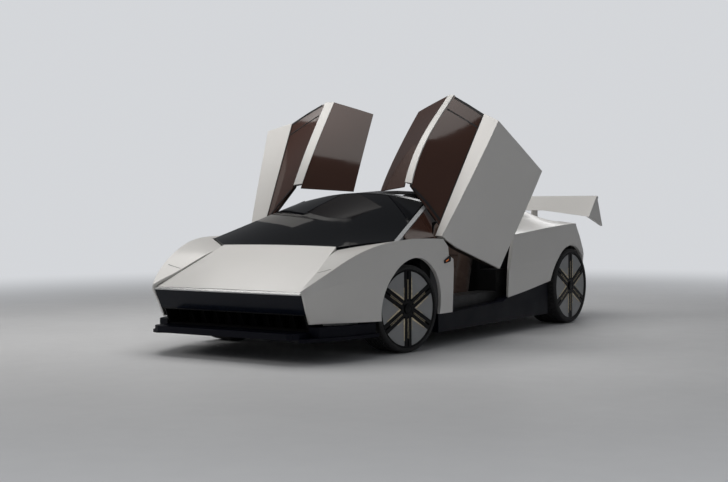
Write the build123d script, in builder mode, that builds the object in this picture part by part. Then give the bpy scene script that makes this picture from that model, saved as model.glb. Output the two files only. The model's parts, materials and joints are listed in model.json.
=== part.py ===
from build123d import *
import os
from math import cos, hypot, radians, sin

# Concept sports car, in millimetres. The car faces -Y, its left side is +X, +Z is up.
# The origin lies on the floor, under the middle of the car's length and width.

# Driving dimensions
WHEELBASE = 2760.0
FRONT_AXLE_Y = -1255.0
REAR_AXLE_Y = FRONT_AXLE_Y + WHEELBASE
NOSE_Y = -2325.0
TAIL_Y = 2190.0
PANEL = 30.0
GAP = 5.0
SEAT_CLEAR = 0.3

FRONT_TYRE_RADIUS = 340.0
FRONT_TYRE_WIDTH = 245.0
FRONT_FACE_X = 966.0
REAR_TYRE_RADIUS = 352.0
REAR_TYRE_WIDTH = 305.0
REAR_FACE_X = 1012.0
FRONT_ARCH_RADIUS = 392.0
REAR_ARCH_RADIUS = 382.0
KINGPIN_X = 800.0
REST_STEER = -10.0

DOOR_HINGE_POINT = (850.0, -725.0, 844.0)
DOOR_HINGE_DIRECTION = (0.828, -0.351, -0.437)
DOOR_OPEN = 66.0

os.makedirs("parts", exist_ok=True)


def outline(plane, corners):
    """A flat face through the corners, on the plane."""
    with BuildSketch(plane) as drawn:
        with BuildLine():
            Polyline(*corners, close=True)
        make_face()
    return drawn.sketch


def at_y(y):
    """The plane across the car at a station: its x is the car's X, its y is the car's Z."""
    return Plane.XZ.offset(-y)


def loft_through(stations, mode=Mode.ADD, ruled=False):
    """A loft through one closed section per station, each given as y and its corners."""
    loft([outline(at_y(y), corners) for y, corners in stations], ruled=ruled, mode=mode)


def side_cut(corners, mode=Mode.INTERSECT, x_from=0.0, x_to=1600.0):
    """Keeps, adds or cuts what lies inside an outline seen from the side, given as (y, z)."""
    extrude(outline(Plane.YZ.offset(x_from), corners), amount=x_to - x_from, mode=mode)


def plan_cut(corners, mode=Mode.INTERSECT, z_from=0.0, z_to=2200.0):
    """Keeps, adds or cuts what lies inside an outline seen from above, given as (x, y)."""
    extrude(outline(Plane.XY.offset(z_from), corners), amount=z_to - z_from, mode=mode)


def cross_cylinder(radius, y, z, x_from, x_to, mode=Mode.ADD):
    """A cylinder across the car, such as a wheel arch."""
    with BuildSketch(Plane.YZ.offset(x_from)) as disc:
        with Locations((y, z)):
            Circle(radius)
    extrude(disc.sketch, amount=x_to - x_from, mode=mode)


def write(piece, name):
    """Labels the finished piece and writes its STEP file."""
    piece.part.label = name
    export_step(piece.part, "parts/" + name + ".step")


def write_mirrored(piece, name):
    """Writes the piece's twin on the right-hand side."""
    with BuildPart() as twin:
        mirror(piece.part, about=Plane.YZ)
    write(twin, name)


# Front fender
# The body side in front: y, lower edge (x, z), side crease (x, z), shoulder (x, z), and the
# height of the top surface where it would reach x = TOP_INNER_X.
TOP_INNER_X = 500.0
FRONT_SIDE = [
    (-2400, 640, 286, 684, 452, 674, 476, 468),
    (-2200, 726, 285, 792, 533, 790, 614, 545),
    (-2000, 830, 283, 868, 572, 858, 722, 645),
    (-1750, 925, 276, 945, 604, 925, 818, 770),
    (-1500, 975, 271, 998, 620, 988, 866, 806),
    (-1200, 990, 270, 1017, 622, 1016, 878, 818),
    (-900, 990, 270, 1021, 620, 1021, 868, 830),
    (-600, 984, 270, 1017, 613, 1016, 853, 838),
]


def side_section(row, inset):
    """The half section of the body side, set in by the panel's thickness."""
    y, sill_x, sill_z, crease_x, crease_z, shoulder_x, shoulder_z, top_z = row
    bottom_z = sill_z if inset == 0 else sill_z - 60
    return (y, [(TOP_INNER_X, bottom_z), (sill_x - inset, bottom_z), (crease_x - inset, crease_z - inset),
                (shoulder_x - inset, shoulder_z - inset), (TOP_INNER_X, top_z - inset)])


# Plan view of the hood and glass edges: the nose corner, the kink at the windscreen's base,
# the windscreen's outer corner and the glass line at the door.
NOSE_CORNER = (716, NOSE_Y)
SCREEN_KINK = (560, -1664)
SCREEN_CORNER = (934, -1385)
GLASS_AT_DOOR = (905, -640)
NOSE_FOOT_Y = -2218.0
NOSE_TOP_Z = 512.0
NOSE_FOOT_Z = 285.0
# Rear edge of the fender, seen from the side: y, z from the bottom up
FENDER_REAR = [(-674, 200), (-674, 285), (-724, 700), (-790, 735), (-800, 800), (-880, 880), (-880, 1000)]

with BuildPart() as front_fender_left:
    loft_through([side_section(row, 0) for row in FRONT_SIDE])
    loft_through([side_section(row, PANEL) for row in FRONT_SIDE], mode=Mode.SUBTRACT)
    plan_cut([(NOSE_CORNER[0] + GAP / 2 - 60, -2450), (1300, -2450), (1300, -500), (GLASS_AT_DOOR[0], -500),
              GLASS_AT_DOOR, SCREEN_CORNER, (SCREEN_KINK[0] + GAP, SCREEN_KINK[1]),
              (NOSE_CORNER[0] + GAP / 2, NOSE_CORNER[1])])
    nose_slope = (NOSE_FOOT_Y - NOSE_Y) / (NOSE_TOP_Z - NOSE_FOOT_Z)
    side_cut([(NOSE_FOOT_Y + nose_slope * 200, NOSE_FOOT_Z - 200),
              (NOSE_Y - nose_slope * 500, NOSE_TOP_Z + 500)] + FENDER_REAR[::-1])
    cross_cylinder(FRONT_ARCH_RADIUS, FRONT_AXLE_Y, FRONT_TYRE_RADIUS, 500, 1300, mode=Mode.SUBTRACT)

write(front_fender_left, "front_fender_left")
write_mirrored(front_fender_left, "front_fender_right")

# Hood, also the front lid: it lies between the fenders, on the line from nose to windscreen
HOOD_THICKNESS = 24.0
HOOD_CROWN = 9.0
HOOD_REAR_Z = 822.0
HOOD_REAR_Y = SCREEN_KINK[1] - GAP
LIP_DEPTH = 30.0


def crowned(y, half_width, edge_z, centre_z, thickness):
    """A plate's section across the car: its top is an arc, and it is equally thick all over."""
    with BuildSketch(at_y(y)) as drawn:
        with BuildLine():
            ThreePointArc((-half_width, edge_z), (0, centre_z), (half_width, edge_z))
            Line((half_width, edge_z), (half_width, edge_z - thickness))
            ThreePointArc((half_width, edge_z - thickness), (0, centre_z - thickness),
                          (-half_width, edge_z - thickness))
            Line((-half_width, edge_z - thickness), (-half_width, edge_z))
        make_face()
    return drawn.sketch


def both_sides(half):
    """The closed outline of a shape with two like halves, from its right-hand points (x, y)."""
    return half + [(-x, y) for x, y in half[::-1]]


def hood_edge_z(y):
    """Height of the hood's straight side edge at a station."""
    return NOSE_TOP_Z - 7 + (HOOD_REAR_Z - NOSE_TOP_Z + 7) * (y - NOSE_Y) / (SCREEN_KINK[1] - NOSE_Y)


def hood_half(y):
    """Half the hood's width at a station, clear of the fenders."""
    share = (y - NOSE_Y) / (SCREEN_KINK[1] - NOSE_Y)
    return NOSE_CORNER[0] + (SCREEN_KINK[0] - NOSE_CORNER[0]) * share - GAP / 2


with BuildPart() as front_lid:
    loft([crowned(y, 730, hood_edge_z(y), hood_edge_z(y) + crown, HOOD_THICKNESS)
          for y, crown in ((-2345, 4), (-2000, HOOD_CROWN), (-1650, HOOD_CROWN + 3))])
    plan_cut(both_sides([(hood_half(y), y) for y in (NOSE_Y + LIP_DEPTH, HOOD_REAR_Y)]))
write(front_lid, "front_lid")

# Bright lip along the nose's leading edge
LIP_HEIGHT = 12.0
NOSE_HALF = NOSE_CORNER[0] - 10
LIP_REAR_Y = NOSE_Y + LIP_DEPTH - GAP
nose_lean = (NOSE_FOOT_Y - NOSE_Y) / (NOSE_TOP_Z - NOSE_FOOT_Z)


def nose_y(z):
    """The nose face leans back towards its foot."""
    return NOSE_Y + (NOSE_TOP_Z - z) * nose_lean


with BuildPart() as nose_lip:
    side_cut([(NOSE_Y - 4, NOSE_TOP_Z - LIP_HEIGHT), (NOSE_Y - 4, NOSE_TOP_Z - 4),
              (LIP_REAR_Y, hood_edge_z(LIP_REAR_Y) + 3), (LIP_REAR_Y, NOSE_TOP_Z - LIP_HEIGHT)],
             mode=Mode.ADD, x_from=-NOSE_HALF, x_to=NOSE_HALF)
write(nose_lip, "nose_lip")

# Dark band under the lip, with the lamps behind its glossy face
BAND_FOOT_Z = 356.0
BAND_DEPTH = 40.0
BAND_STEP_Z = NOSE_TOP_Z - 30
with BuildPart() as nose_band:
    side_cut([(nose_y(NOSE_TOP_Z - LIP_HEIGHT), NOSE_TOP_Z - LIP_HEIGHT), (nose_y(BAND_FOOT_Z), BAND_FOOT_Z),
              (nose_y(BAND_FOOT_Z) + BAND_DEPTH, BAND_FOOT_Z), (nose_y(BAND_STEP_Z) + BAND_DEPTH, BAND_STEP_Z),
              (LIP_REAR_Y, BAND_STEP_Z), (LIP_REAR_Y, NOSE_TOP_Z - LIP_HEIGHT)],
             mode=Mode.ADD, x_to=NOSE_HALF)
    add(front_fender_left.part, mode=Mode.SUBTRACT)
    mirror(about=Plane.YZ)
write(nose_band, "nose_band")

# Front intake: a housing open to the front, with upright fins
INTAKE_FOOT_Z = 226.0
INTAKE_DEPTH = 170.0
INTAKE_HALF = NOSE_HALF - 22
INTAKE_REAR_Y = nose_y(INTAKE_FOOT_Z) + INTAKE_DEPTH
INTAKE_WALL = 10.0
FIN_COUNT = 11
FIN_SET = 100.0
FIN_HALF = 4.0
with BuildPart() as front_intake:
    side_cut([(nose_y(BAND_FOOT_Z) + 8, BAND_FOOT_Z), (nose_y(INTAKE_FOOT_Z) + 8, INTAKE_FOOT_Z),
              (INTAKE_REAR_Y, INTAKE_FOOT_Z),
              (INTAKE_REAR_Y, BAND_FOOT_Z)],
             mode=Mode.ADD, x_from=-INTAKE_HALF, x_to=INTAKE_HALF)
    side_cut([(nose_y(BAND_FOOT_Z) - 90, BAND_FOOT_Z - INTAKE_WALL),
              (nose_y(INTAKE_FOOT_Z) - 90, INTAKE_FOOT_Z + INTAKE_WALL),
              (INTAKE_REAR_Y - INTAKE_WALL, INTAKE_FOOT_Z + INTAKE_WALL),
              (INTAKE_REAR_Y - INTAKE_WALL, BAND_FOOT_Z - INTAKE_WALL)],
             mode=Mode.SUBTRACT, x_from=-INTAKE_HALF + INTAKE_WALL, x_to=INTAKE_HALF - INTAKE_WALL)
    for index in range(FIN_COUNT):
        fin_x = (index - (FIN_COUNT - 1) / 2) * 2 * INTAKE_HALF / FIN_COUNT
        side_cut([(nose_y(BAND_FOOT_Z) + FIN_SET, BAND_FOOT_Z - 5),
                  (nose_y(INTAKE_FOOT_Z) + FIN_SET, INTAKE_FOOT_Z + 5),
                  (INTAKE_REAR_Y - 5, INTAKE_FOOT_Z + 5),
                  (INTAKE_REAR_Y - 5, BAND_FOOT_Z - 5)],
                 mode=Mode.ADD, x_from=fin_x - FIN_HALF, x_to=fin_x + FIN_HALF)
write(front_intake, "front_intake")

# Splitter: a slim blade under the nose, on a floor that runs back under the fenders, and the valance
# walls that stand on it
SPLITTER_FRONT_Y = -2380.0
SPLITTER_LOW = 163.0
SPLITTER_TOP = 188.0
BLADE_LOW = 181.0
LIP_TOP = INTAKE_FOOT_Z - SEAT_CLEAR
BLADE_SIDE = [(624, SPLITTER_FRONT_Y), (664, SPLITTER_FRONT_Y + 14), (694, SPLITTER_FRONT_Y + 56)]
SPLITTER_SIDE = [(600, -2290), (690, -2322), (748, -2300), (800, -2210), (900, -1960), (962, -1690)]
VALANCE_TOP = 264.0
with BuildPart() as splitter:
    plan_cut(both_sides(BLADE_SIDE + [(690, INTAKE_REAR_Y - 40)]), mode=Mode.ADD, z_from=BLADE_LOW, z_to=LIP_TOP)
    plan_cut(both_sides(SPLITTER_SIDE + [(560, SPLITTER_SIDE[-1][1])]),
             mode=Mode.ADD, z_from=SPLITTER_LOW, z_to=SPLITTER_TOP)
    for side in (1, -1):
        plan_cut([(side * x, y) for x, y in [(690, -2200), (780, -2190), (880, -1950), (930, -1690), (880, -1690),
                                             (820, -1950), (690, -2120)]],
                 mode=Mode.ADD, z_from=SPLITTER_TOP, z_to=VALANCE_TOP)
write(splitter, "splitter")

# Luggage tub under the hood
TUB_SIDE_X = 430.0
LUGGAGE_WALL = 12.0
LUGGAGE_FRONT_Y = INTAKE_REAR_Y + SEAT_CLEAR
LUGGAGE_REAR_Y = -1240.0
CROSSMEMBER_TOP = 280.0
LUGGAGE_LOW = CROSSMEMBER_TOP + SEAT_CLEAR
LID_HINGE_X = 424.0
LID_HINGE_Z = 824.0
with BuildPart() as luggage_tub:
    side_cut([(LUGGAGE_FRONT_Y, LUGGAGE_LOW), (LUGGAGE_REAR_Y, LUGGAGE_LOW), (LUGGAGE_REAR_Y, 770),
              (SCREEN_KINK[1], 770), (LUGGAGE_FRONT_Y, 600)],
             mode=Mode.ADD, x_from=-TUB_SIDE_X, x_to=TUB_SIDE_X)
    side_cut([(LUGGAGE_FRONT_Y + LUGGAGE_WALL, LUGGAGE_LOW + LUGGAGE_WALL),
              (LUGGAGE_REAR_Y - LUGGAGE_WALL, LUGGAGE_LOW + LUGGAGE_WALL),
              (LUGGAGE_REAR_Y - LUGGAGE_WALL, 900), (LUGGAGE_FRONT_Y + LUGGAGE_WALL, 900)],
             mode=Mode.SUBTRACT, x_from=-TUB_SIDE_X + LUGGAGE_WALL, x_to=TUB_SIDE_X - LUGGAGE_WALL)
    for side in (1, -1):
        side_cut([(HOOD_REAR_Y + SEAT_CLEAR, 790), (HOOD_REAR_Y + SEAT_CLEAR, LID_HINGE_Z - 6),
                  (HOOD_REAR_Y + GAP - 1.2, LID_HINGE_Z - 6), (HOOD_REAR_Y + 20, 735), (HOOD_REAR_Y - 30, 735),
                  (HOOD_REAR_Y - 30, 745)],
                 mode=Mode.ADD, x_from=side * LID_HINGE_X - 5, x_to=side * LID_HINGE_X + 5)
write(luggage_tub, "luggage_tub")

# Door hinge: a bracket and a pin on the tub, and an arm on the door, all on the hinge axis
HINGE_ARM_AT = 38.0
HINGE_ARM_WIDTH = 20.0


def hinge_plane(along, towards):
    """A plane square to the left door's hinge axis, a distance along it, its x direction given."""
    origin = Vector(*DOOR_HINGE_POINT) + Vector(*DOOR_HINGE_DIRECTION).normalized() * along
    axis_way = Vector(*DOOR_HINGE_DIRECTION).normalized()
    x_way = Vector(*towards) - axis_way * Vector(*towards).dot(axis_way)
    return Plane(origin=origin, x_dir=x_way, z_dir=axis_way)


# Passenger tub: floor, sills, posts and bulkheads, open where the doors are
FLOOR_LOW = 130.0
FLOOR_TOP = 165.0
TUB_HALF = 860.0
SILL_TOP = 372.0
FOOT_HALF = 520.0
FIREWALL_Y = -1000.0
LINER_WALL = 4.0
FOOT_STEP_Y = FRONT_AXLE_Y + FRONT_ARCH_RADIUS + LINER_WALL + SEAT_CLEAR
BULKHEAD_Y = 640.0
POST_TOP = 836.0
# The closed door's inner panel reaches over the tub's side behind the opening, above this height
DOOR_POCKET_Z = 560.0
with BuildPart() as tub:
    plan_cut(both_sides([(FOOT_HALF, FIREWALL_Y), (FOOT_HALF, FOOT_STEP_Y), (TUB_HALF - 60, FOOT_STEP_Y),
                         (TUB_HALF, FOOT_STEP_Y + 60), (TUB_HALF, BULKHEAD_Y)]),
             mode=Mode.ADD, z_from=FLOOR_LOW, z_to=POST_TOP)
    plan_cut(both_sides([(FOOT_HALF - PANEL, FIREWALL_Y + PANEL), (FOOT_HALF - PANEL, FOOT_STEP_Y + PANEL),
                         (670, FOOT_STEP_Y + PANEL + 40), (670, BULKHEAD_Y - PANEL)]),
             mode=Mode.SUBTRACT, z_from=FLOOR_TOP, z_to=POST_TOP + 10)
    for side in (1, -1):
        plan_cut([(side * 660, -655), (side * 900, -655), (side * 900, 300), (side * 660, 300)],
                 mode=Mode.SUBTRACT, z_from=SILL_TOP, z_to=POST_TOP + 10)
        plan_cut([(side * 690, 290), (side * 900, 290), (side * 900, 480), (side * 690, 480)],
                 mode=Mode.SUBTRACT, z_from=DOOR_POCKET_Z, z_to=POST_TOP + 10)
    extrude(outline(at_y(BULKHEAD_Y), both_sides([(590, POST_TOP - 5), (590, 980), (480, 1060), (480, 1112),
                                                  (400, 1136), (250, 1166), (90, 1183)])), amount=PANEL)
    bracket = hinge_plane(-8.0, (-0.362, 0.153, -0.809))
    extrude(outline(bracket, [(-16, -16), (70, -30), (70, 30), (-16, 16)]), amount=26)
    with BuildSketch(hinge_plane(0, (0, 0, 1))) as pin:
        Circle(10)
    extrude(pin.sketch, amount=HINGE_ARM_AT - SEAT_CLEAR)
    mirror(about=Plane.YZ)
write(tub, "tub")

# Wheel arch liners: half rings over the four wheels
with BuildPart() as arch_liners:
    for axle_y, wheel_r, arch_r, x_in, x_out in (
            (FRONT_AXLE_Y, FRONT_TYRE_RADIUS, FRONT_ARCH_RADIUS, FOOT_HALF + 40, 900),
            (REAR_AXLE_Y, REAR_TYRE_RADIUS, REAR_ARCH_RADIUS, 640, 935)):
        for side in (1, -1):
            x_low = min(side * x_in, side * x_out)
            with BuildSketch(Plane.YZ.offset(x_low)) as ring:
                with Locations((axle_y, wheel_r)):
                    Circle(arch_r + LINER_WALL)
                    Circle(arch_r, mode=Mode.SUBTRACT)
                    with Locations((0, -arch_r - LINER_WALL)):
                        Rectangle(2 * arch_r + 20, 2 * arch_r + 2 * LINER_WALL, mode=Mode.SUBTRACT)
            extrude(ring.sketch, amount=x_out - x_in)
write(arch_liners, "arch_liners")

# Sills under the doors, between the wheels
with BuildPart() as sills:
    for x_from, x_to in ((TUB_HALF + SEAT_CLEAR, 962), (-962, -TUB_HALF - SEAT_CLEAR)):
        side_cut([(-845, 118), (1105, 118), (1105, 405), (600, 350 - SEAT_CLEAR), (300, 309), (250, 289),
                  (-660, 262), (-674, 270 - SEAT_CLEAR), (-845, 270 - SEAT_CLEAR)],
                 mode=Mode.ADD, x_from=x_from, x_to=x_to)
write(sills, "sills")

# Rear quarter
# The body side behind the door: y, lower edge (x, z), side crease (x, z), shoulder (x, z), the haunch's
# middle (x, z) and the ridge along the engine cover (x, z)
REAR_SIDE = [
    (300, 968, 316, 986, 590, 986, 860, 792, 917, 430, 1170),
    (600, 974, 350, 994, 606, 996, 879, 760, 952, 490, 1154),
    (850, 978, 382, 1002, 615, 1005, 899, 770, 1000, 585, 1126),
    (1140, 982, 420, 1010, 625, 1011, 919, 830, 992, 695, 1064),
    (1400, 984, 440, 1012, 632, 1010, 931, 880, 958, 765, 990),
    (1650, 980, 440, 1008, 636, 998, 938, 925, 948, 862, 956),
    (1950, 930, 440, 960, 640, 940, 932, 880, 936, 830, 938),
]


def quarter_section(row, inset):
    """The half section of the rear quarter, set in by the panel's thickness."""
    y, sill_x, sill_z, crease_x, crease_z, shoulder_x, shoulder_z, mid_x, mid_z, ridge_x, ridge_z = row
    foot_z = sill_z if inset == 0 else sill_z - 80
    inner_x = ridge_x if inset == 0 else ridge_x - 80
    return (y, [(inner_x, foot_z), (sill_x - inset, foot_z), (crease_x - inset, crease_z - inset),
                (shoulder_x - inset, shoulder_z - inset), (mid_x, mid_z - inset), (inner_x, ridge_z - inset)])


# The quarter's front edge meets the door, seen from above; its tail edge is seen from the side
QUARTER_FRONT = [(1100, 395 + GAP), (985, 395 + GAP), (772, 466 + GAP), (483, 568 + GAP), (300, 600 + GAP)]
QUARTER_FOOT_Y = 252.0
QUARTER_TAIL = [(1625, 1000), (1625, 940), (1730, 815), (1820, 680), (1846, 560), (1850, 400)]
with BuildPart() as rear_quarter_left:
    loft_through([quarter_section(row, 0) for row in REAR_SIDE])
    loft_through([quarter_section(row, PANEL) for row in REAR_SIDE], mode=Mode.SUBTRACT)
    plan_cut([(1100, QUARTER_FOOT_Y)] + QUARTER_FRONT[3:] + [(300, 2000), (1100, 2000)])
    side_cut([(QUARTER_FOOT_Y + GAP, 250), (QUARTER_FOOT_Y + GAP, 323), (395 + GAP, 862), (466 + GAP, 925),
              (568 + GAP, 1154), (568 + GAP, 1300)] + QUARTER_TAIL)
    cross_cylinder(REAR_ARCH_RADIUS, REAR_AXLE_Y, REAR_TYRE_RADIUS, 400, 1300, mode=Mode.SUBTRACT)
write(rear_quarter_left, "rear_quarter_left")
write_mirrored(rear_quarter_left, "rear_quarter_right")

# Rear fascia: the tail tapers behind the quarters: y, foot (x, z), crease (x, z), shoulder (x, z), deck (x, z)
TAIL_SIDE = [
    (1500, 984, 440, 1012, 634, 1006, 934, 870, 954, 966),
    (1700, 952, 440, 980, 636, 966, 932, 840, 944, 956),
    (1950, 855, 436, 885, 640, 850, 926, 760, 934, 944),
    (2190, 735, 430, 768, 640, 722, 914, 640, 922, 932),
]


def tail_section(row, inset):
    """The half section of the tail, set in by the panel's thickness."""
    y, foot_x, foot_z, crease_x, crease_z, shoulder_x, shoulder_z, deck_x, deck_z, centre_z = row
    low_z = foot_z if inset == 0 else foot_z - 80
    return (y, [(0, low_z), (foot_x - inset, low_z), (crease_x - inset, crease_z - inset),
                (shoulder_x - inset, shoulder_z - inset), (deck_x - inset, deck_z - inset),
                (0, centre_z - inset)])


LAMP_LOW = 742.0
LAMP_TOP = 772.0
with BuildPart() as rear_fascia:
    loft_through([tail_section(row, 0) for row in TAIL_SIDE])
    inner_rows = TAIL_SIDE[:3] + [(TAIL_Y - PANEL,) + TAIL_SIDE[3][1:]]
    loft_through([tail_section(row, PANEL) for row in inner_rows], mode=Mode.SUBTRACT)
    side_cut([(y + GAP, z) for y, z in QUARTER_TAIL] + [(2300, 400), (2300, 1000)])
    cross_cylinder(REAR_ARCH_RADIUS + LINER_WALL + SEAT_CLEAR, REAR_AXLE_Y, REAR_TYRE_RADIUS, 400, 1300,
                   mode=Mode.SUBTRACT)
    side_cut([(TAIL_Y - 16, LAMP_LOW), (TAIL_Y + 50, LAMP_LOW), (TAIL_Y + 50, LAMP_TOP), (TAIL_Y - 16, LAMP_TOP)],
             mode=Mode.SUBTRACT, x_from=-10, x_to=660)
    mirror(about=Plane.YZ)
write(rear_fascia, "rear_fascia")

with BuildPart() as rear_lamp:
    side_cut([(TAIL_Y - 16 + SEAT_CLEAR, LAMP_LOW + SEAT_CLEAR), (TAIL_Y - 2, LAMP_LOW + SEAT_CLEAR),
              (TAIL_Y - 2, LAMP_TOP - SEAT_CLEAR), (TAIL_Y - 16 + SEAT_CLEAR, LAMP_TOP - SEAT_CLEAR)],
             mode=Mode.ADD, x_from=-659, x_to=659)
write(rear_lamp, "rear_lamp")

# Diffuser: a rising floor with upright fins
DIFFUSER_END_Y = 2380.0
DIFFUSER_HALF = 690.0
FLAT_FRONT_Y = 1380.0
POWER_LOW = 200.0
FASCIA_FOOT_Z = 430.0
with BuildPart() as diffuser:
    side_cut([(FLAT_FRONT_Y, 150), (FLAT_FRONT_Y, 165), (1905, 165), (DIFFUSER_END_Y, 330), (DIFFUSER_END_Y, 312),
              (1905, 150)], mode=Mode.ADD, x_from=-DIFFUSER_HALF, x_to=DIFFUSER_HALF)
    side_cut([(FLAT_FRONT_Y + 10, 160), (FLAT_FRONT_Y + 10, POWER_LOW - SEAT_CLEAR),
              (FLAT_FRONT_Y + 70, POWER_LOW - SEAT_CLEAR), (FLAT_FRONT_Y + 70, 160)],
             mode=Mode.ADD, x_from=-120, x_to=120)
    for index in range(7):
        fin_x = (index - 3) * 2 * (DIFFUSER_HALF - 6) / 6
        side_cut([(1990, 160), (2310, 150), (DIFFUSER_END_Y, 200), (DIFFUSER_END_Y, 320), (1990, 190)],
                 mode=Mode.ADD, x_from=fin_x - 6, x_to=fin_x + 6)
    side_cut([(2140, 240), (TAIL_Y, 262), (TAIL_Y, FASCIA_FOOT_Z - SEAT_CLEAR), (2140, FASCIA_FOOT_Z - SEAT_CLEAR)],
             mode=Mode.ADD, x_from=-DIFFUSER_HALF, x_to=DIFFUSER_HALF)
write(diffuser, "diffuser")

# Rear wing: a blade with a dropped front edge at the tips, triangular end plates and two struts
WING_HALF = 1000.0
WING_FRONT = [(0, 1905, 1062), (500, 1905, 1062), (WING_HALF, 1932, 996)]
WING_TOP = (2122, 1200)
PLATE = 24.0
STRUT_X = 360.0


def wing_section(x, front_y, front_z):
    """The blade's section at a station across the car."""
    top_y, top_z = WING_TOP
    return outline(Plane.YZ.offset(x), [(front_y, front_z), (top_y, top_z), (top_y + 34, top_z - 16),
                                        (front_y + 60, front_z - 4)])


with BuildPart() as rear_wing:
    loft([wing_section(x, y, z) for x, y, z in WING_FRONT[:2]], ruled=True)
    loft([wing_section(x, y, z) for x, y, z in WING_FRONT[1:]], ruled=True)
    side_cut([(1932, 996), WING_TOP, (2250, 900)], mode=Mode.ADD, x_from=WING_HALF - PLATE, x_to=WING_HALF)
    side_cut([(1965, 930), (2085, 930), (2085, 1160), (1990, 1075)], mode=Mode.ADD, x_from=STRUT_X - 10,
             x_to=STRUT_X + 10)
    mirror(about=Plane.YZ)
    add(rear_fascia.part, mode=Mode.SUBTRACT)
write(rear_wing, "rear_wing")

# Engine cover between the ridges: y, half width, edge z, centre z
COVER_FRONT_Y = 646.0
COVER_ROWS = [
    (COVER_FRONT_Y, 503, 1143, 1215),
    (850, 580, 1122, 1168),
    (1140, 690, 1060, 1088),
    (1400, 760, 986, 1004),
    (1615, 845, 953, 962),
]
COVER_THICKNESS = 22.0
CARRIER_DEPTH = 90.0
with BuildPart() as engine_cover:
    loft([crowned(y, half - GAP, edge_z, centre_z, COVER_THICKNESS) for y, half, edge_z, centre_z in COVER_ROWS])
write(engine_cover, "engine_cover")

with BuildPart() as power_unit:
    front_y = BULKHEAD_Y + SEAT_CLEAR
    rear_y = REAR_AXLE_Y - CARRIER_DEPTH / 2 - SEAT_CLEAR
    with BuildSketch(Plane.XY.offset(POWER_LOW)) as block:
        with Locations((0, (front_y + rear_y) / 2)):
            RectangleRounded(660, rear_y - front_y, 40)
    extrude(block.sketch, amount=560)
write(power_unit, "power_unit")

# Windscreen: y, half width, edge z, centre z
SCREEN_ROWS = [
    (-1680, 975, 800, 822),
    (-1385, 898, 867, 929),
    (-950, 768, 1014, 1090),
    (-520, 640, 1159, 1240),
]
SCREEN_THICKNESS = 10.0
PILLAR = 34.0
HEADER_FRONT_Y = -545.0
HEADER_REAR_Y = -434.0
with BuildPart() as windscreen:
    loft([crowned(y, half, edge_z, centre_z, SCREEN_THICKNESS) for y, half, edge_z, centre_z in SCREEN_ROWS])
    plan_cut(both_sides([SCREEN_KINK, (SCREEN_CORNER[0] - PILLAR - 10, SCREEN_CORNER[1] - 25),
                         (SCREEN_CORNER[0] - PILLAR - 4, SCREEN_CORNER[1] - 2),
                         (655, HEADER_FRONT_Y - SEAT_CLEAR)]))
write(windscreen, "windscreen")

# Roof frame: windscreen pillars, header, spine and the hoop behind the doors
PILLAR_FOOT = (934, -1385, 861)
PILLAR_HEAD = (674, -470, 1168)
# The spine's edge, and the hoop's front edge, follow the roof panels: (x, y)
SPINE_EDGE = [(147, -444), (31, 436)]
HOOP_EDGE = [(31, 443), (403, 583)]
HEADER_LEDGE_Y = -408.0
COVER_TAB_Z = 1201.0
HOOP_FRONT_Y = 582.0
HOOP_REAR_Y = 640.0


def pillar_end(point):
    """The pillar's section in a plane across the car, outboard of the glass edge."""
    x, y, z = point
    return outline(at_y(y), [(x - PILLAR, z - PILLAR), (x - 1, z - PILLAR), (x - 1, z - 6), (x - PILLAR, z + 6)])


with BuildPart() as spine:
    side_cut([(SPINE_EDGE[0][1], 1208), (SPINE_EDGE[0][1], 1236), (-100, 1256), (250, 1250), (600, 1226),
              (600, 1190), (250, 1222), (-100, 1230)], mode=Mode.ADD, x_from=-SPINE_EDGE[0][0], x_to=SPINE_EDGE[0][0])
    plan_cut(both_sides(SPINE_EDGE + [(SPINE_EDGE[1][0], 600)]))
with BuildPart() as hoop:
    loft([crowned(HOOP_EDGE[0][1] - 10, 478, 1181, 1247, 30), crowned(HOOP_FRONT_Y, 478, 1150, 1226, 30),
          crowned(HOOP_REAR_Y, 494, 1142, 1216, 30)])
    plan_cut(both_sides([HOOP_EDGE[0], HOOP_EDGE[1], (478, HOOP_EDGE[1][1]), (494, HOOP_REAR_Y)]))
with BuildPart() as roof_frame:
    loft([pillar_end(PILLAR_FOOT), pillar_end(PILLAR_HEAD)], ruled=True)
    mirror(about=Plane.YZ)
    loft([crowned(HEADER_FRONT_Y, 662, 1140, 1238, 40), crowned(HEADER_REAR_Y, 652, 1146, 1240, 40)])
    add(spine.part)
    add(hoop.part)
    loft([crowned(HEADER_REAR_Y - 8, 640, 1124, 1214, 16), crowned(HEADER_LEDGE_Y, 634, 1126, 1216, 16)])
    for tab_x in (-200, 200):
        side_cut([(HOOP_REAR_Y - 5, 1186), (HOOP_REAR_Y - 5, COVER_TAB_Z), (COVER_FRONT_Y - SEAT_CLEAR, COVER_TAB_Z),
                  (COVER_FRONT_Y - SEAT_CLEAR, 1186)], mode=Mode.ADD, x_from=tab_x - 20, x_to=tab_x + 20)
write(roof_frame, "roof_frame")

# Quarter lights: fixed side glass between the pillar, the fender and the door's glass
# Station y and the height of the lower edge
QUARTER_GLASS = 7.0
QUARTER_LIGHT_ROWS = [(-1250, 871), (-900, 878), (-600, 882), (-400, 886)]


def on_line(start, end, y):
    """The point of a straight line in space at a station."""
    share = (y - start[1]) / (end[1] - start[1])
    return [a + (b - a) * share for a, b in zip(start, end)]


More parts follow.
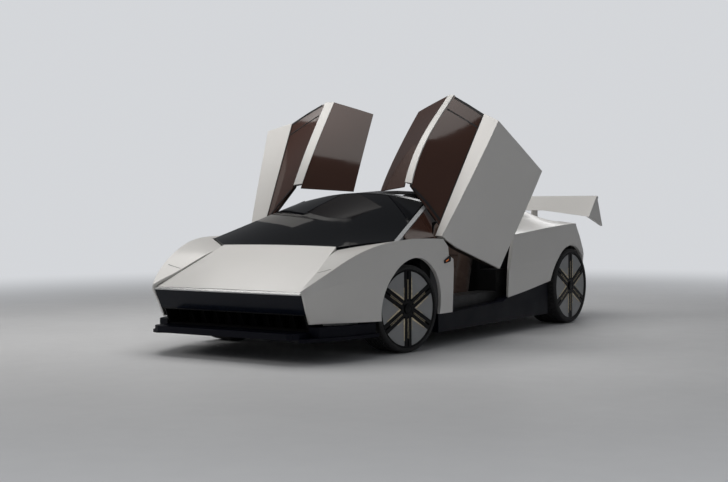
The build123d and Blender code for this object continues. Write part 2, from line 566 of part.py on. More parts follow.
def quarter_light_section(y, low_z):
    """From the fender's edge to the pillar's outer face."""
    pillar_x, _, pillar_z = on_line(PILLAR_FOOT, PILLAR_HEAD, y)
    low_x = on_line(SCREEN_CORNER, GLASS_AT_DOOR, y)[0] - SEAT_CLEAR
    top_x, top_z = pillar_x - 1 + SEAT_CLEAR + QUARTER_GLASS, pillar_z - 9
    return (y, [(low_x, low_z), (top_x, top_z), (top_x - QUARTER_GLASS, top_z - QUARTER_GLASS),
                (low_x - QUARTER_GLASS, low_z - QUARTER_GLASS)])


with BuildPart() as quarter_lights:
    loft_through([quarter_light_section(y, low_z) for y, low_z in QUARTER_LIGHT_ROWS], ruled=True)
    side_cut([(-1400, 800), (-812, 800), (-812, 905), (-700, 990), (-600, 1000), (-490, 1130), (-490, 1300),
              (-1400, 1300)])
    mirror(about=Plane.YZ)
write(quarter_lights, "quarter_lights")

# Doors, made closed and then turned open about the butterfly hinge
# The closed door: y, lower edge (x, z), side crease (x, z), shoulder (x, z), shoulder strip's inner
# edge (x, z), roof rail outer edge (x, z), rail inner edge (x, z), roof panel's inner edge (x, z)
DOOR_ROWS = [
    (-800, 990, 270, 1011, 612, 1020, 862, 924, 866, 765, 1040, 691, 1075, 199, 1120),
    (-420, 985, 290, 1005, 604, 1016, 855, 877, 886, 687, 1168, 613, 1202, 149, 1238),
    (-100, 978, 300, 996, 597, 1006, 855, 839, 902, 621, 1216, 545, 1243, 107, 1258),
    (250, 970, 318, 984, 590, 992, 859, 797, 919, 548, 1200, 470, 1222, 61, 1252),
    (600, 965, 340, 976, 588, 984, 872, 755, 936, 476, 1152, 396, 1170, 15, 1228),
]
SKIN = 28.0
DOOR_INNER_X = 872.0
RAIL = 24.0
GLASS = 7.0
# Front and rear edges of the closed door, seen from the side: (y, z) from the bottom up
DOOR_FRONT = [(-668, 200), (-668, 287), (-718, 702), (-712, 800), (-700, 880)]
DOOR_REAR = [(395, 862), (245, 318), (245, 200)]
# Rear edge of the closed door seen from above: (x, y)
DOOR_EDGE_PLAN = [(1100, 395), (985, 395), (772, 466)]
GLASS_FRONT = [(-640, 870), (-596, 876), (-377, 1180), (-377, 1300)]
GLASS_REAR = [(565, 1300), (565, 1154), (462, 927), (462, 870)]
hinge_axis = Axis(DOOR_HINGE_POINT, DOOR_HINGE_DIRECTION)


def door_points(row):
    """The corners of one door station, by name."""
    names = ("foot", "crease", "shoulder", "strip", "rail_out", "rail_in", "roof")
    return row[0], {name: (row[1 + 2 * i], row[2 + 2 * i]) for i, name in enumerate(names)}


def skin_section(row):
    """Outer skin and shoulder strip."""
    y, at = door_points(row)
    return (y, [at["foot"], at["crease"], at["shoulder"], at["strip"], (at["strip"][0], at["strip"][1] - SKIN),
                (at["shoulder"][0] - SKIN, at["shoulder"][1] - SKIN), (at["crease"][0] - SKIN, at["crease"][1]),
                (at["foot"][0] - SKIN, at["foot"][1])])


def rail_section(row):
    """Roof rail over the side glass."""
    y, at = door_points(row)
    return (y, [at["rail_out"], at["rail_in"], (at["rail_in"][0] + 2, at["rail_in"][1] - RAIL),
                (at["rail_out"][0] - 8, at["rail_out"][1] - RAIL)])


def slab_section(row, low, high, depth, thickness, low_gap=SEAT_CLEAR, high_gap=SEAT_CLEAR):
    """A slab of even thickness between two of the door's lines, set in below the outer surface."""
    y, at = door_points(row)
    (low_x, low_z), (high_x, high_z) = at[low], at[high]
    reach = hypot(high_x - low_x, high_z - low_z)
    along = ((high_x - low_x) / reach, (high_z - low_z) / reach)
    inward = (-abs(along[1]), -abs(along[0]))
    start = (low_x + along[0] * low_gap, low_z + along[1] * low_gap)
    end = (high_x - along[0] * high_gap, high_z - along[1] * high_gap)
    corner = [(point[0] + inward[0] * d, point[1] + inward[1] * d)
              for point, d in ((start, depth), (end, depth), (end, depth + thickness), (start, depth + thickness))]
    return (y, corner)


with BuildPart() as door_skin_closed:
    loft_through([skin_section(row) for row in DOOR_ROWS])
    side_cut(DOOR_FRONT + [(-600, 1000), (470, 1000), (466, 930)] + DOOR_REAR)
    plan_cut([(600, -900), (1100, -900)] + DOOR_EDGE_PLAN + [(600, 470)])
with BuildPart() as door_rail_closed:
    loft_through([rail_section(row) for row in DOOR_ROWS])
    side_cut([(-377, 900), (-350, 1300), (580, 1300), (565, 900)])
with BuildPart() as door_skin_left:
    add(door_skin_closed.part.rotate(hinge_axis, DOOR_OPEN))
    add(door_rail_closed.part.rotate(hinge_axis, DOOR_OPEN))
write(door_skin_left, "door_skin_left")
write_mirrored(door_skin_left, "door_skin_right")

# Side glass and roof panel
with BuildPart() as door_glass_closed:
    loft_through([slab_section(row, "strip", "rail_out", 4, GLASS, low_gap=-2, high_gap=8) for row in DOOR_ROWS])
    side_cut(GLASS_FRONT + GLASS_REAR)
    add(door_skin_closed.part, mode=Mode.SUBTRACT)
    add(door_rail_closed.part, mode=Mode.SUBTRACT)
with BuildPart() as door_roof_closed:
    loft_through([slab_section(row, "rail_in", "roof", 3, GLASS) for row in DOOR_ROWS])
    side_cut([(-397, 1000), (-397, 1400), (575, 1400), (575, 1000)])
    plan_cut([(0, -600), (900, -600), (900, 600), (HOOP_EDGE[1][0], HOOP_EDGE[1][1] - GAP - 2),
              (HOOP_EDGE[0][0], HOOP_EDGE[0][1] - GAP - 2), (0, HOOP_EDGE[0][1] - GAP - 2)])
with BuildPart() as door_glazing_left:
    add(door_glass_closed.part.rotate(hinge_axis, DOOR_OPEN))
    add(door_roof_closed.part.rotate(hinge_axis, DOOR_OPEN))
write(door_glazing_left, "door_glazing_left")
write_mirrored(door_glazing_left, "door_glazing_right")


def inner_section(row):
    """The door's inner panel, behind the skin."""
    y, at = door_points(row)
    foot, crease, shoulder, strip = at["foot"], at["crease"], at["shoulder"], at["strip"]
    inset = SKIN + SEAT_CLEAR
    return (y, [(foot[0] - inset, foot[1] + 4), (crease[0] - inset, crease[1]),
                (shoulder[0] - inset, shoulder[1] - inset), (strip[0] + 6, strip[1] - inset),
                (strip[0] - 2, strip[1] - inset - 60), (DOOR_INNER_X, 640), (DOOR_INNER_X, foot[1] + 90),
                (DOOR_INNER_X + 30, foot[1] + 4)])


POST_DEPTH = 4 + GLASS + SEAT_CLEAR
POST = 16.0
with BuildPart() as door_frame_closed:
    loft_through([inner_section(row) for row in DOOR_ROWS])
    side_cut([(y + 6, z) for y, z in DOOR_FRONT] + [(-600, 1000), (456, 1000), (456, 920)]
             + [(y - 6, z) for y, z in DOOR_REAR])
    plan_cut([(500, -900), (1100, -900)] + [(x, y - GAP) for x, y in DOOR_EDGE_PLAN] + [(500, 464)])
    add(door_skin_closed.part, mode=Mode.SUBTRACT)
    arm_plane = hinge_plane(HINGE_ARM_AT, (0.173, 0.901, -0.397))
    extrude(outline(arm_plane, [(-14, -14), (95, -14), (95, 14), (-14, 14)]), amount=HINGE_ARM_WIDTH)
with BuildPart() as door_posts_closed:
    loft_through([slab_section(row, "strip", "rail_out", POST_DEPTH, POST, low_gap=-26, high_gap=-14)
                  for row in DOOR_ROWS])
    front_post = [(-600, 850), (-596, 876), (-377, 1180), (-377, 1240), (-345, 1240), (-345, 1180), (-556, 876),
                  (-556, 850)]
    rear_post = [(565, 1230), (565, 1154), (454, 920), (422, 889), (422, 920), (530, 1154), (530, 1230)]
    with BuildSketch(Plane.YZ.offset(300)) as posts:
        with BuildLine():
            Polyline(*front_post, close=True)
        make_face()
        with BuildLine():
            Polyline(*rear_post, close=True)
        make_face()
    extrude(posts.sketch, amount=900, mode=Mode.INTERSECT)
    add(door_skin_closed.part, mode=Mode.SUBTRACT)
    add(door_rail_closed.part, mode=Mode.SUBTRACT)
with BuildPart() as door_frame_left:
    add(door_frame_closed.part.rotate(hinge_axis, DOOR_OPEN))
    add(door_posts_closed.part.rotate(hinge_axis, DOOR_OPEN))
write(door_frame_left, "door_frame_left")
write_mirrored(door_frame_left, "door_frame_right")

# Side cameras: a small pod on each fender, behind the wheel arch
with BuildPart() as side_cameras:
    side_cut([(-856, 672), (-858, 694), (-786, 730), (-768, 716), (-776, 684)],
             mode=Mode.ADD, x_from=1000, x_to=1038)
    add(front_fender_left.part, mode=Mode.SUBTRACT)
    mirror(about=Plane.YZ)
write(side_cameras, "side_cameras")

# Cabin
SEAT_X = 370.0
WHEEL_HUB = (SEAT_X, -508.0, 684.0)
WHEEL_TILT = 22.0
COLUMN_GAP = 5.0
COLUMN_HALF = 22.0
with BuildPart() as dashboard:
    dash_front_y = FIREWALL_Y + PANEL + SEAT_CLEAR
    plan_cut(both_sides([(FOOT_HALF - PANEL - 1, dash_front_y), (FOOT_HALF - PANEL - 1, FOOT_STEP_Y + PANEL),
                         (665, FOOT_STEP_Y + PANEL + 44), (665, -600)]), mode=Mode.ADD, z_from=540, z_to=830)
    side_cut([(-980, 560), (-980, 800), (-760, 822), (-610, 760), (-640, 640), (-760, 560)], x_from=-700, x_to=700)
    lean = (cos(radians(WHEEL_TILT)), sin(radians(WHEEL_TILT)))
    end_y, end_z = WHEEL_HUB[1] - COLUMN_GAP * lean[0], WHEEL_HUB[2] - COLUMN_GAP * lean[1]
    side_cut([(-700, 690), (-640, 735), (end_y - COLUMN_HALF * lean[1], end_z + COLUMN_HALF * lean[0]),
              (end_y + COLUMN_HALF * lean[1], end_z - COLUMN_HALF * lean[0]), (-700, 640)], mode=Mode.ADD,
             x_from=SEAT_X - 35, x_to=SEAT_X + 35)
write(dashboard, "dashboard")

with BuildPart() as console:
    side_cut([(-620, FLOOR_TOP + SEAT_CLEAR), (-620, 470), (-300, 430), (250, 470), (300, FLOOR_TOP + SEAT_CLEAR)],
             mode=Mode.ADD, x_from=-105, x_to=105)
write(console, "console")

CUSHION_HALF = 235.0
seat_low = FLOOR_TOP + SEAT_CLEAR
with BuildPart() as seat_cushions:
    side_cut([(-330, seat_low), (-350, 300), (-300, 345), (134, 270), (164.5, seat_low)], mode=Mode.ADD,
             x_from=SEAT_X - CUSHION_HALF, x_to=SEAT_X + CUSHION_HALF)
    mirror(about=Plane.YZ)
write(seat_cushions, "seat_cushions")

with BuildPart() as seat_backs:
    side_cut([(165, seat_low), (130, 285), (390, 960), (440, 1000), (500, 960), (470, 800), (300, seat_low)], mode=Mode.ADD,
             x_from=SEAT_X - CUSHION_HALF, x_to=SEAT_X + CUSHION_HALF)
    mirror(about=Plane.YZ)
write(seat_backs, "seat_backs")

with BuildPart() as steering_wheel:
    grip_plane = Plane(origin=WHEEL_HUB, x_dir=(1, 0, 0),
                       z_dir=(0, cos(radians(WHEEL_TILT)), sin(radians(WHEEL_TILT))))
    with BuildSketch(grip_plane) as yoke:
        RectangleRounded(330, 210, 70)
        RectangleRounded(278, 158, 48, mode=Mode.SUBTRACT)
        Rectangle(300, 44)
    extrude(amount=26)
    with BuildSketch(grip_plane) as boss:
        Circle(COLUMN_HALF - 2)
    extrude(boss.sketch, amount=SEAT_CLEAR - COLUMN_GAP)
write(steering_wheel, "steering_wheel")

# Wheels
RIM_SHARE = 0.893
SHOULDER = 14.0
SPOKE_COUNT = 6
HUB_RADIUS = 58.0
AXLE_RADIUS = 24.0


def tyre_ring(radius, width, face_x, axle_y):
    """A tyre: its section revolved about the axle."""
    rim_radius = radius * RIM_SHARE
    inner_x = face_x - width
    with BuildSketch(Plane.XY) as section:
        with BuildLine():
            Polyline((inner_x + 8, axle_y + rim_radius), (face_x - 6, axle_y + rim_radius),
                     (face_x, axle_y + radius - SHOULDER), (face_x - 1.6 * SHOULDER, axle_y + radius),
                     (inner_x, axle_y + radius), close=True)
        make_face()
    return section.sketch


def disc_at(x, radius, amount, axle_y, mode=Mode.ADD, inner=0.0):
    """A disc, or a ring, about the axle, at height zero."""
    with BuildSketch(Plane.YZ.offset(x)) as disc:
        with Locations((axle_y, 0)):
            Circle(radius)
            if inner > 0:
                Circle(inner, mode=Mode.SUBTRACT)
    extrude(disc.sketch, amount=amount, mode=mode)


def turned(corners, angle, axle_y):
    """Corners given as (y, z) from the axle, turned about it and moved to it."""
    c, s = cos(radians(angle)), sin(radians(angle))
    return [(axle_y + y * c - z * s, y * s + z * c) for y, z in corners]


WHEELS = [
    ("front", FRONT_TYRE_RADIUS, FRONT_TYRE_WIDTH, FRONT_FACE_X, FRONT_AXLE_Y),
    ("rear", REAR_TYRE_RADIUS, REAR_TYRE_WIDTH, REAR_FACE_X, REAR_AXLE_Y),
]
SPOKE_DEPTH = 34.0
SPOKE_HALF = 39.0
COVER_DEPTH = 8.0
COVER_SET = 10.0
RIM_WALL = 16.0
for place, tyre_r, tyre_w, face_x, axle_y in WHEELS:
    rim_r = tyre_r * RIM_SHARE - SEAT_CLEAR
    inner_x = face_x - tyre_w
    with BuildPart() as tyre:
        revolve(tyre_ring(tyre_r, tyre_w, face_x, axle_y), axis=Axis((0, axle_y, 0), (1, 0, 0)))
    with BuildPart() as rim:
        disc_at(inner_x + 12, rim_r, tyre_w - 22, axle_y, inner=rim_r - RIM_WALL)
        disc_at(face_x - 116, HUB_RADIUS, 108, axle_y)
        for index in range(SPOKE_COUNT):
            for offset_sign in (-1, 1):
                corners = [(offset_sign * 4, 30), (offset_sign * 6, rim_r - 8),
                           (offset_sign * SPOKE_HALF, rim_r - 8), (offset_sign * (SPOKE_HALF - 8), 30)]
                blade = outline(Plane.YZ.offset(face_x - SPOKE_DEPTH - 8),
                                turned(corners, index * 360 / SPOKE_COUNT, axle_y))
                extrude(blade, amount=SPOKE_DEPTH)
        disc_at(face_x - 116, 190, 26, axle_y)
        disc_at(face_x - 120, AXLE_RADIUS + SEAT_CLEAR, 70, axle_y, mode=Mode.SUBTRACT)
    with BuildPart() as cover:
        with BuildSketch(Plane.YZ.offset(face_x - COVER_SET - COVER_DEPTH)) as plate:
            with Locations((axle_y, 0)):
                Circle(rim_r - RIM_WALL - SEAT_CLEAR)
                Circle(HUB_RADIUS + 14, mode=Mode.SUBTRACT)
                with PolarLocations(0, SPOKE_COUNT, start_angle=90):
                    Rectangle(2 * rim_r, 2 * SPOKE_HALF + 4, align=(Align.MIN, Align.CENTER), mode=Mode.SUBTRACT)
        extrude(plate.sketch, amount=COVER_DEPTH)
    for side, side_name in ((1, "left"), (-1, "right")):
        steer_axis = Axis((side * KINGPIN_X, axle_y, 0), (0, 0, 1))
        for piece, piece_name in ((tyre, "tyre"), (rim, "rim"), (cover, "wheel_cover")):
            with BuildPart() as placed:
                raised = Pos(0, 0, tyre_r) * piece.part
                if side < 0:
                    raised = raised.mirror(Plane.YZ)
                if place == "front":
                    raised = raised.rotate(steer_axis, REST_STEER)
                add(raised)
            write(placed, piece_name + "_" + place + "_" + side_name)

# Front knuckles with their stub axles
STUB_END_X = FRONT_FACE_X - 60
for side, side_name in ((1, "left"), (-1, "right")):
    with BuildPart() as knuckle:
        with BuildSketch(Plane.XY.offset(FRONT_TYRE_RADIUS - 120)) as upright:
            with Locations((KINGPIN_X, FRONT_AXLE_Y)):
                RectangleRounded(44, 80, 12)
        extrude(upright.sketch, amount=240)
        with BuildSketch(Plane.YZ.offset(KINGPIN_X)) as stub:
            with Locations((FRONT_AXLE_Y, FRONT_TYRE_RADIUS)):
                Circle(AXLE_RADIUS)
        extrude(stub.sketch, amount=STUB_END_X - KINGPIN_X)
    with BuildPart() as placed:
        steered = knuckle.part
        if side < 0:
            steered = steered.mirror(Plane.YZ)
        add(steered.rotate(Axis((side * KINGPIN_X, FRONT_AXLE_Y, 0), (0, 0, 1)), REST_STEER))
    write(placed, "knuckle_" + side_name)

# Front suspension: a crossmember, with upper and lower arms to the kingpins
ARM_END_GAP = SEAT_CLEAR
BEAM_FRONT_Y = FRONT_AXLE_Y - 130
BEAM_REAR_Y = FIREWALL_Y - SEAT_CLEAR
with BuildPart() as suspension_front:
    with BuildSketch(Plane.XY.offset(160)) as beam:
        with Locations((0, (BEAM_FRONT_Y + BEAM_REAR_Y) / 2)):
            Rectangle(900, BEAM_REAR_Y - BEAM_FRONT_Y)
    extrude(beam.sketch, amount=CROSSMEMBER_TOP - 160)
    for arm_z, thickness in ((FRONT_TYRE_RADIUS - 120 - ARM_END_GAP - 26, 26),
                             (FRONT_TYRE_RADIUS + 120 + ARM_END_GAP, 22)):
        for side in (1, -1):
            with BuildSketch(Plane.XY.offset(arm_z)) as arm:
                with BuildLine():
                    Polyline((side * 440, FRONT_AXLE_Y - 120), (side * (KINGPIN_X + 20), FRONT_AXLE_Y - 22),
                             (side * (KINGPIN_X + 20), FRONT_AXLE_Y + 22), (side * 440, FRONT_AXLE_Y + 120), close=True)
                make_face()
                with Locations((side * 560, FRONT_AXLE_Y)):
                    Rectangle(150, 90, mode=Mode.SUBTRACT)
            extrude(arm.sketch, amount=thickness)
    for side in (1, -1):
        with BuildSketch(Plane.XY.offset(200)) as tower:
            with Locations((side * 446, FRONT_AXLE_Y)):
                Rectangle(30, 260)
        extrude(tower.sketch, amount=300)
write(suspension_front, "suspension_front")

with BuildPart() as suspension_rear:
    with BuildSketch(Plane.XY.offset(REAR_TYRE_RADIUS - 40)) as carrier:
        with Locations((0, REAR_AXLE_Y)):
            Rectangle(1180, CARRIER_DEPTH)
    extrude(carrier.sketch, amount=80)
    with BuildSketch(Plane.YZ.offset(-REAR_FACE_X + 60)) as stub:
        with Locations((REAR_AXLE_Y, REAR_TYRE_RADIUS)):
            Circle(AXLE_RADIUS)
    extrude(stub.sketch, amount=2 * REAR_FACE_X - 120)
write(suspension_rear, "suspension_rear")
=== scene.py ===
import json
import math

import bmesh
import bpy
from mathutils import Matrix, Vector, bvhtree


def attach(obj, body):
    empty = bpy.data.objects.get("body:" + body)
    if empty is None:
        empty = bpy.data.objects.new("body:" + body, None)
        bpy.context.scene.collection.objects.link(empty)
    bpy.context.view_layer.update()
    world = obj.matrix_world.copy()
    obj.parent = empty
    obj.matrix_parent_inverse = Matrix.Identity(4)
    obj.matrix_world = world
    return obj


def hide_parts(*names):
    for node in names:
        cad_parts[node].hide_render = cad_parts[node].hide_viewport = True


# Concept sports car: studio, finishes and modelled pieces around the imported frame, in metres.
# The car faces -Y, its left side is +X, +Z is up.
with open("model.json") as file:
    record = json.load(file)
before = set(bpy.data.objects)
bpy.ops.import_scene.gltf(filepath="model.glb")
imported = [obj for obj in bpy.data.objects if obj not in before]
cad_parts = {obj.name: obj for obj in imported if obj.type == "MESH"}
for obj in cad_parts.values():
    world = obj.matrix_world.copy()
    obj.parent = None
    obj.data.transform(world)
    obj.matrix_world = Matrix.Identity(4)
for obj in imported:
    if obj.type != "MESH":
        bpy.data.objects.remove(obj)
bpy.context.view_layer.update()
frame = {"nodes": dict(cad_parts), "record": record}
NODES = frame["nodes"]
bpy.ops.object.select_all(action="DESELECT")

# Driving sizes, the same as the part's
FRONT_AXLE = Vector((0.0, -1.255, 0.340))
REAR_AXLE = Vector((0.0, 1.505, 0.352))
KINGPIN_X = 0.800
REST_STEER = math.radians(-10.0)
FRONT_RADIUS = 0.340
REAR_RADIUS = 0.352
FRONT_WIDTH = 0.245
REAR_WIDTH = 0.305
FRONT_FACE_X = 0.966
REAR_FACE_X = 1.012
SEAT_X = 0.370
HEADER_Y = -0.547
DOOR_ANGLE = math.radians(66.0)


# Camera at the photograph's viewpoint
CAMERA_PLACE = Vector((6.218, -9.557, 1.187))
CAMERA_YAW = math.radians(34.41)
CAMERA_PITCH = math.radians(1.89)
CAMERA_ROLL = math.radians(0.435)
CAMERA_LENS = 63.23


def add_camera():
    """A camera looking at the car's front left corner, level with the hood."""
    yaw, pitch, roll = CAMERA_YAW, CAMERA_PITCH, CAMERA_ROLL
    forward = Vector((-math.sin(yaw) * math.cos(pitch), math.cos(yaw) * math.cos(pitch), -math.sin(pitch)))
    right = Vector((math.cos(yaw), math.sin(yaw), 0.0))
    down = forward.cross(right)
    right_rolled = right * math.cos(roll) + down * math.sin(roll)
    down_rolled = down * math.cos(roll) - right * math.sin(roll)
    data = bpy.data.cameras.new("photo_view")
    data.lens = CAMERA_LENS
    data.sensor_width = 36.0
    camera = bpy.data.objects.new("photo_view", data)
    bpy.context.scene.collection.objects.link(camera)
    turn = Matrix((right_rolled, -down_rolled, -forward)).transposed().to_4x4()
    camera.matrix_world = Matrix.Translation(CAMERA_PLACE) @ turn
    bpy.context.scene.camera = camera


# Studio
def add_area(name, place, target, size, power, colour=(1.0, 1.0, 1.0)):
    """A soft rectangular lamp aimed at a point."""
    data = bpy.data.lights.new(name, "AREA")
    data.shape = "RECTANGLE"
    data.size, data.size_y = size
    data.energy = power
    data.color = colour
    lamp = bpy.data.objects.new(name, data)
    bpy.context.scene.collection.objects.link(lamp)
    aim = (Vector(target) - Vector(place)).to_track_quat("-Z", "Y")
    lamp.matrix_world = Matrix.Translation(Vector(place)) @ aim.to_matrix().to_4x4()


SURROUND = (0.66, 0.675, 0.70)
FLOOR_NEAR = 3.4
FLOOR_FAR = 11.0


def add_studio():
    """Pale floor that runs into an even pale surround, with soft overhead and side lamps."""
    world = bpy.data.worlds.new("surround")
    world.use_nodes = True
    bpy.context.scene.world = world
    tree = world.node_tree
    background = tree.nodes["Background"]
    shown = background_rays(tree)
    level = tree.nodes.new("ShaderNodeMapRange")
    level.inputs["To Min"].default_value = 0.25
    level.inputs["To Max"].default_value = 1.0
    tree.links.new(shown, level.inputs["Value"])
    background.inputs["Color"].default_value = (*SURROUND, 1.0)
    tree.links.new(level.outputs["Result"], background.inputs["Strength"])

    bpy.ops.mesh.primitive_plane_add(size=80.0, location=(0.0, 0.0, 0.0))
    floor = bpy.context.object
    floor.name = "floor"
    floor.data.materials.append(floor_finish())

    add_area("overhead", (-1.2, -0.6, 5.4), (-0.1, -0.4, 0.6), (3.6, 6.4), 185.0, (1.0, 0.985, 0.96))
    add_area("front_key", (-5.0, -5.6, 3.6), (0.0, -1.6, 0.7), (2.4, 2.2), 84.0, (1.0, 0.98, 0.95))
    add_area("side_fill", (6.8, -2.0, 2.4), (0.6, 0.2, 0.7), (1.2, 6.0), 16.0, (0.93, 0.96, 1.0))
    add_area("rear_rim", (-1.0, 6.2, 3.2), (0.0, 1.4, 0.8), (4.5, 1.2), 38.0)
    bpy.context.scene.view_settings.view_transform = "Standard"


def background_rays(tree):
    """One where a ray comes from the camera or through glass, so that both show the surround."""
    seen = tree.nodes.new("ShaderNodeLightPath")
    first = tree.nodes.new("ShaderNodeMath")
    first.operation = "MAXIMUM"
    tree.links.new(seen.outputs["Is Camera Ray"], first.inputs[0])
    tree.links.new(seen.outputs["Is Transmission Ray"], first.inputs[1])
    return first.outputs[0]


# Finishes
class Finish:
    """A principled material that is built up step by step on object coordinates."""

    def __init__(self, name, colour, roughness, metallic=0.0):
        self.made = bpy.data.materials.new(name)
        self.made.use_nodes = True
        self.tree = self.made.node_tree
        self.shader = self.tree.nodes["Principled BSDF"]
        self.set("Base Color", (*colour, 1.0))
        self.set("Roughness", roughness)
        self.set("Metallic", metallic)
        self.coords = self.tree.nodes.new("ShaderNodeTexCoord").outputs["Object"]
        self.height = None
        self.made.diffuse_color = (*colour, 1.0)

    def set(self, socket, value):
        """Sets one of the shader's own sockets."""
        self.shader.inputs[socket].default_value = value
        return self

    def node(self, kind, **sockets):
        """A node of a kind, with its sockets set by name."""
        made = self.tree.nodes.new(kind)
        for socket, value in sockets.items():
            made.inputs[socket.replace("_", " ")].default_value = value
        return made

    def noise(self, scale, detail=3.0, stretch=None):
        """A noise value, stretched along the axes if asked."""
        made = self.node("ShaderNodeTexNoise", Scale=scale, Detail=detail)
        self.tree.links.new(self.mapped(stretch), made.inputs["Vector"])
        return made.outputs["Fac"]

    def mapped(self, stretch=None, turn=(0.0, 0.0, 0.0), shift=(0.0, 0.0, 0.0)):
        """Object coordinates, scaled and turned."""
        if stretch is None and not any(turn) and not any(shift):
            return self.coords
        mapping = self.tree.nodes.new("ShaderNodeMapping")
        mapping.inputs["Scale"].default_value = stretch or (1.0, 1.0, 1.0)
        mapping.inputs["Rotation"].default_value = turn
        mapping.inputs["Location"].default_value = shift
        self.tree.links.new(self.coords, mapping.inputs["Vector"])
        return mapping.outputs["Vector"]

    def ranged(self, value, low, high, from_low=0.0, from_high=1.0):
        """The value mapped between two limits."""
        made = self.node("ShaderNodeMapRange", To_Min=low, To_Max=high, From_Min=from_low, From_Max=from_high)
        self.tree.links.new(value, made.inputs["Value"])
        return made.outputs["Result"]

    def vary_roughness(self, value, low, high):
        """Roughness that wanders between two limits."""
        self.tree.links.new(self.ranged(value, low, high, 0.3, 0.7), self.shader.inputs["Roughness"])
        return self

    def vary_colour(self, value, first, second, from_low=0.3, from_high=0.7):
        """Colour that wanders between two."""
        mix = self.tree.nodes.new("ShaderNodeMix")
        mix.data_type = "RGBA"
        mix.inputs["A"].default_value = (*first, 1.0)
        mix.inputs["B"].default_value = (*second, 1.0)
        self.tree.links.new(self.ranged(value, 0.0, 1.0, from_low, from_high), mix.inputs["Factor"])
        self.tree.links.new(mix.outputs["Result"], self.shader.inputs["Base Color"])
        return self

    def soften_edges(self, radius):
        """Rounds the look of sharp edges, under any relief."""
        made = self.node("ShaderNodeBevel", Radius=radius)
        made.samples = 4
        self.height = made.outputs["Normal"]
        self.tree.links.new(self.height, self.shader.inputs["Normal"])
        return self

    def bump(self, value, strength, distance):
        """Adds relief, on top of what is there already."""
        made = self.node("ShaderNodeBump", Strength=strength, Distance=distance)
        self.tree.links.new(value, made.inputs["Height"])
        if self.height is not None:
            self.tree.links.new(self.height, made.inputs["Normal"])
        self.height = made.outputs["Normal"]
        self.tree.links.new(self.height, self.shader.inputs["Normal"])
        return self


def floor_finish():
    """Pale studio floor, very slightly mottled, that runs into the surround far from the car."""
    made = Finish("studio_floor", (0.66, 0.665, 0.675), 0.6)
    made.vary_colour(made.noise(1.2), (0.645, 0.65, 0.66), (0.675, 0.68, 0.69))
    made.vary_roughness(made.noise(6.0), 0.52, 0.68)
    tree = made.tree
    reach = tree.nodes.new("ShaderNodeVectorMath")
    reach.operation = "LENGTH"
    tree.links.new(made.coords, reach.inputs[0])
    share = made.ranged(reach.outputs["Value"], 0.0, 1.0, FLOOR_NEAR, FLOOR_FAR)
    share.node.interpolation_type = "SMOOTHSTEP"
    glow = made.node("ShaderNodeEmission", Color=(*SURROUND, 1.0), Strength=1.0)
    both = tree.nodes.new("ShaderNodeMath")
    both.operation = "MULTIPLY"
    tree.links.new(share, both.inputs[0])
    tree.links.new(background_rays(tree), both.inputs[1])
    mixed = tree.nodes.new("ShaderNodeMixShader")
    tree.links.new(both.outputs[0], mixed.inputs["Fac"])
    tree.links.new(made.shader.outputs[0], mixed.inputs[1])
    tree.links.new(glow.outputs[0], mixed.inputs[2])
    tree.links.new(mixed.outputs[0], tree.nodes["Material Output"].inputs["Surface"])
    return made.made


def body_paint():
    """Satin warm white paint with a fine orange peel and a clear coat."""
    made = Finish("satin_white_paint", (0.72, 0.705, 0.68), 0.36)
    made.vary_colour(made.noise(1.6), (0.71, 0.695, 0.67), (0.735, 0.72, 0.695))
    made.vary_roughness(made.noise(3.0, 5.0), 0.30, 0.40)
    made.soften_edges(0.004)
    made.bump(made.noise(420.0, 2.0), 0.03, 0.0003)
    made.set("Coat Weight", 0.35).set("Coat Roughness", 0.16)
    return made.made


def navy_gloss(name, colour, roughness, coat):
    """Dark navy trim with faint flake."""
    made = Finish(name, colour, roughness)
    lighter = tuple(c * 1.5 for c in colour)
    made.vary_colour(made.noise(900.0, 1.0), colour, lighter, 0.45, 0.75)
    made.vary_roughness(made.noise(5.0, 4.0), roughness * 0.8, roughness * 1.25)
    made.bump(made.noise(300.0, 2.0), 0.03, 0.0003)
    made.set("Coat Weight", coat).set("Coat Roughness", 0.08).set("Specular IOR Level", 0.12)
    return made.made


def dark_glass():
    """Black laminated windscreen glass, close to opaque from outside."""
    made = Finish("dark_glass", (0.004, 0.0045, 0.006), 0.05)
    made.vary_roughness(made.noise(2.0), 0.03, 0.07)
    made.set("Transmission Weight", 0.04).set("IOR", 1.25).set("Specular IOR Level", 0.12)
    return made.made


def bronze_glass():
    """Bronze tinted side glass."""
    made = Finish("bronze_glass", (0.062, 0.028, 0.020), 0.08)
    made.vary_colour(made.noise(0.9, 1.0), (0.052, 0.024, 0.017), (0.072, 0.033, 0.024))
    made.vary_roughness(made.noise(2.5), 0.06, 0.11)
    made.set("Transmission Weight", 0.18).set("IOR", 1.42).set("Specular IOR Level", 0.42)
    return made.made


def moulded_black(name="moulded_black", colour=(0.006, 0.006, 0.007)):
    """Grained black plastic."""
    made = Finish(name, colour, 0.55)
    made.set("Specular IOR Level", 0.25)
    made.vary_roughness(made.noise(40.0), 0.46, 0.64)
    made.bump(made.noise(700.0, 2.0), 0.25, 0.0005)
    return made.made


def rim_paint():
    """Black paint of the spokes and hub caps."""
    made = Finish("gloss_black_rim", (0.006, 0.006, 0.007), 0.30)
    made.vary_roughness(made.noise(12.0), 0.16, 0.30)
    made.bump(made.noise(260.0), 0.04, 0.0003)
    made.set("Specular IOR Level", 0.15)
    return made.made


def cover_paint():
    """Satin mid grey of the flat wheel covers."""
    made = Finish("satin_grey_cover", (0.30, 0.305, 0.31), 0.40, 0.15)
    made.vary_colour(made.noise(8.0), (0.285, 0.29, 0.295), (0.315, 0.32, 0.325))
    made.vary_roughness(made.noise(22.0), 0.30, 0.42)
    made.bump(made.noise(320.0), 0.04, 0.0003)
    return made.made


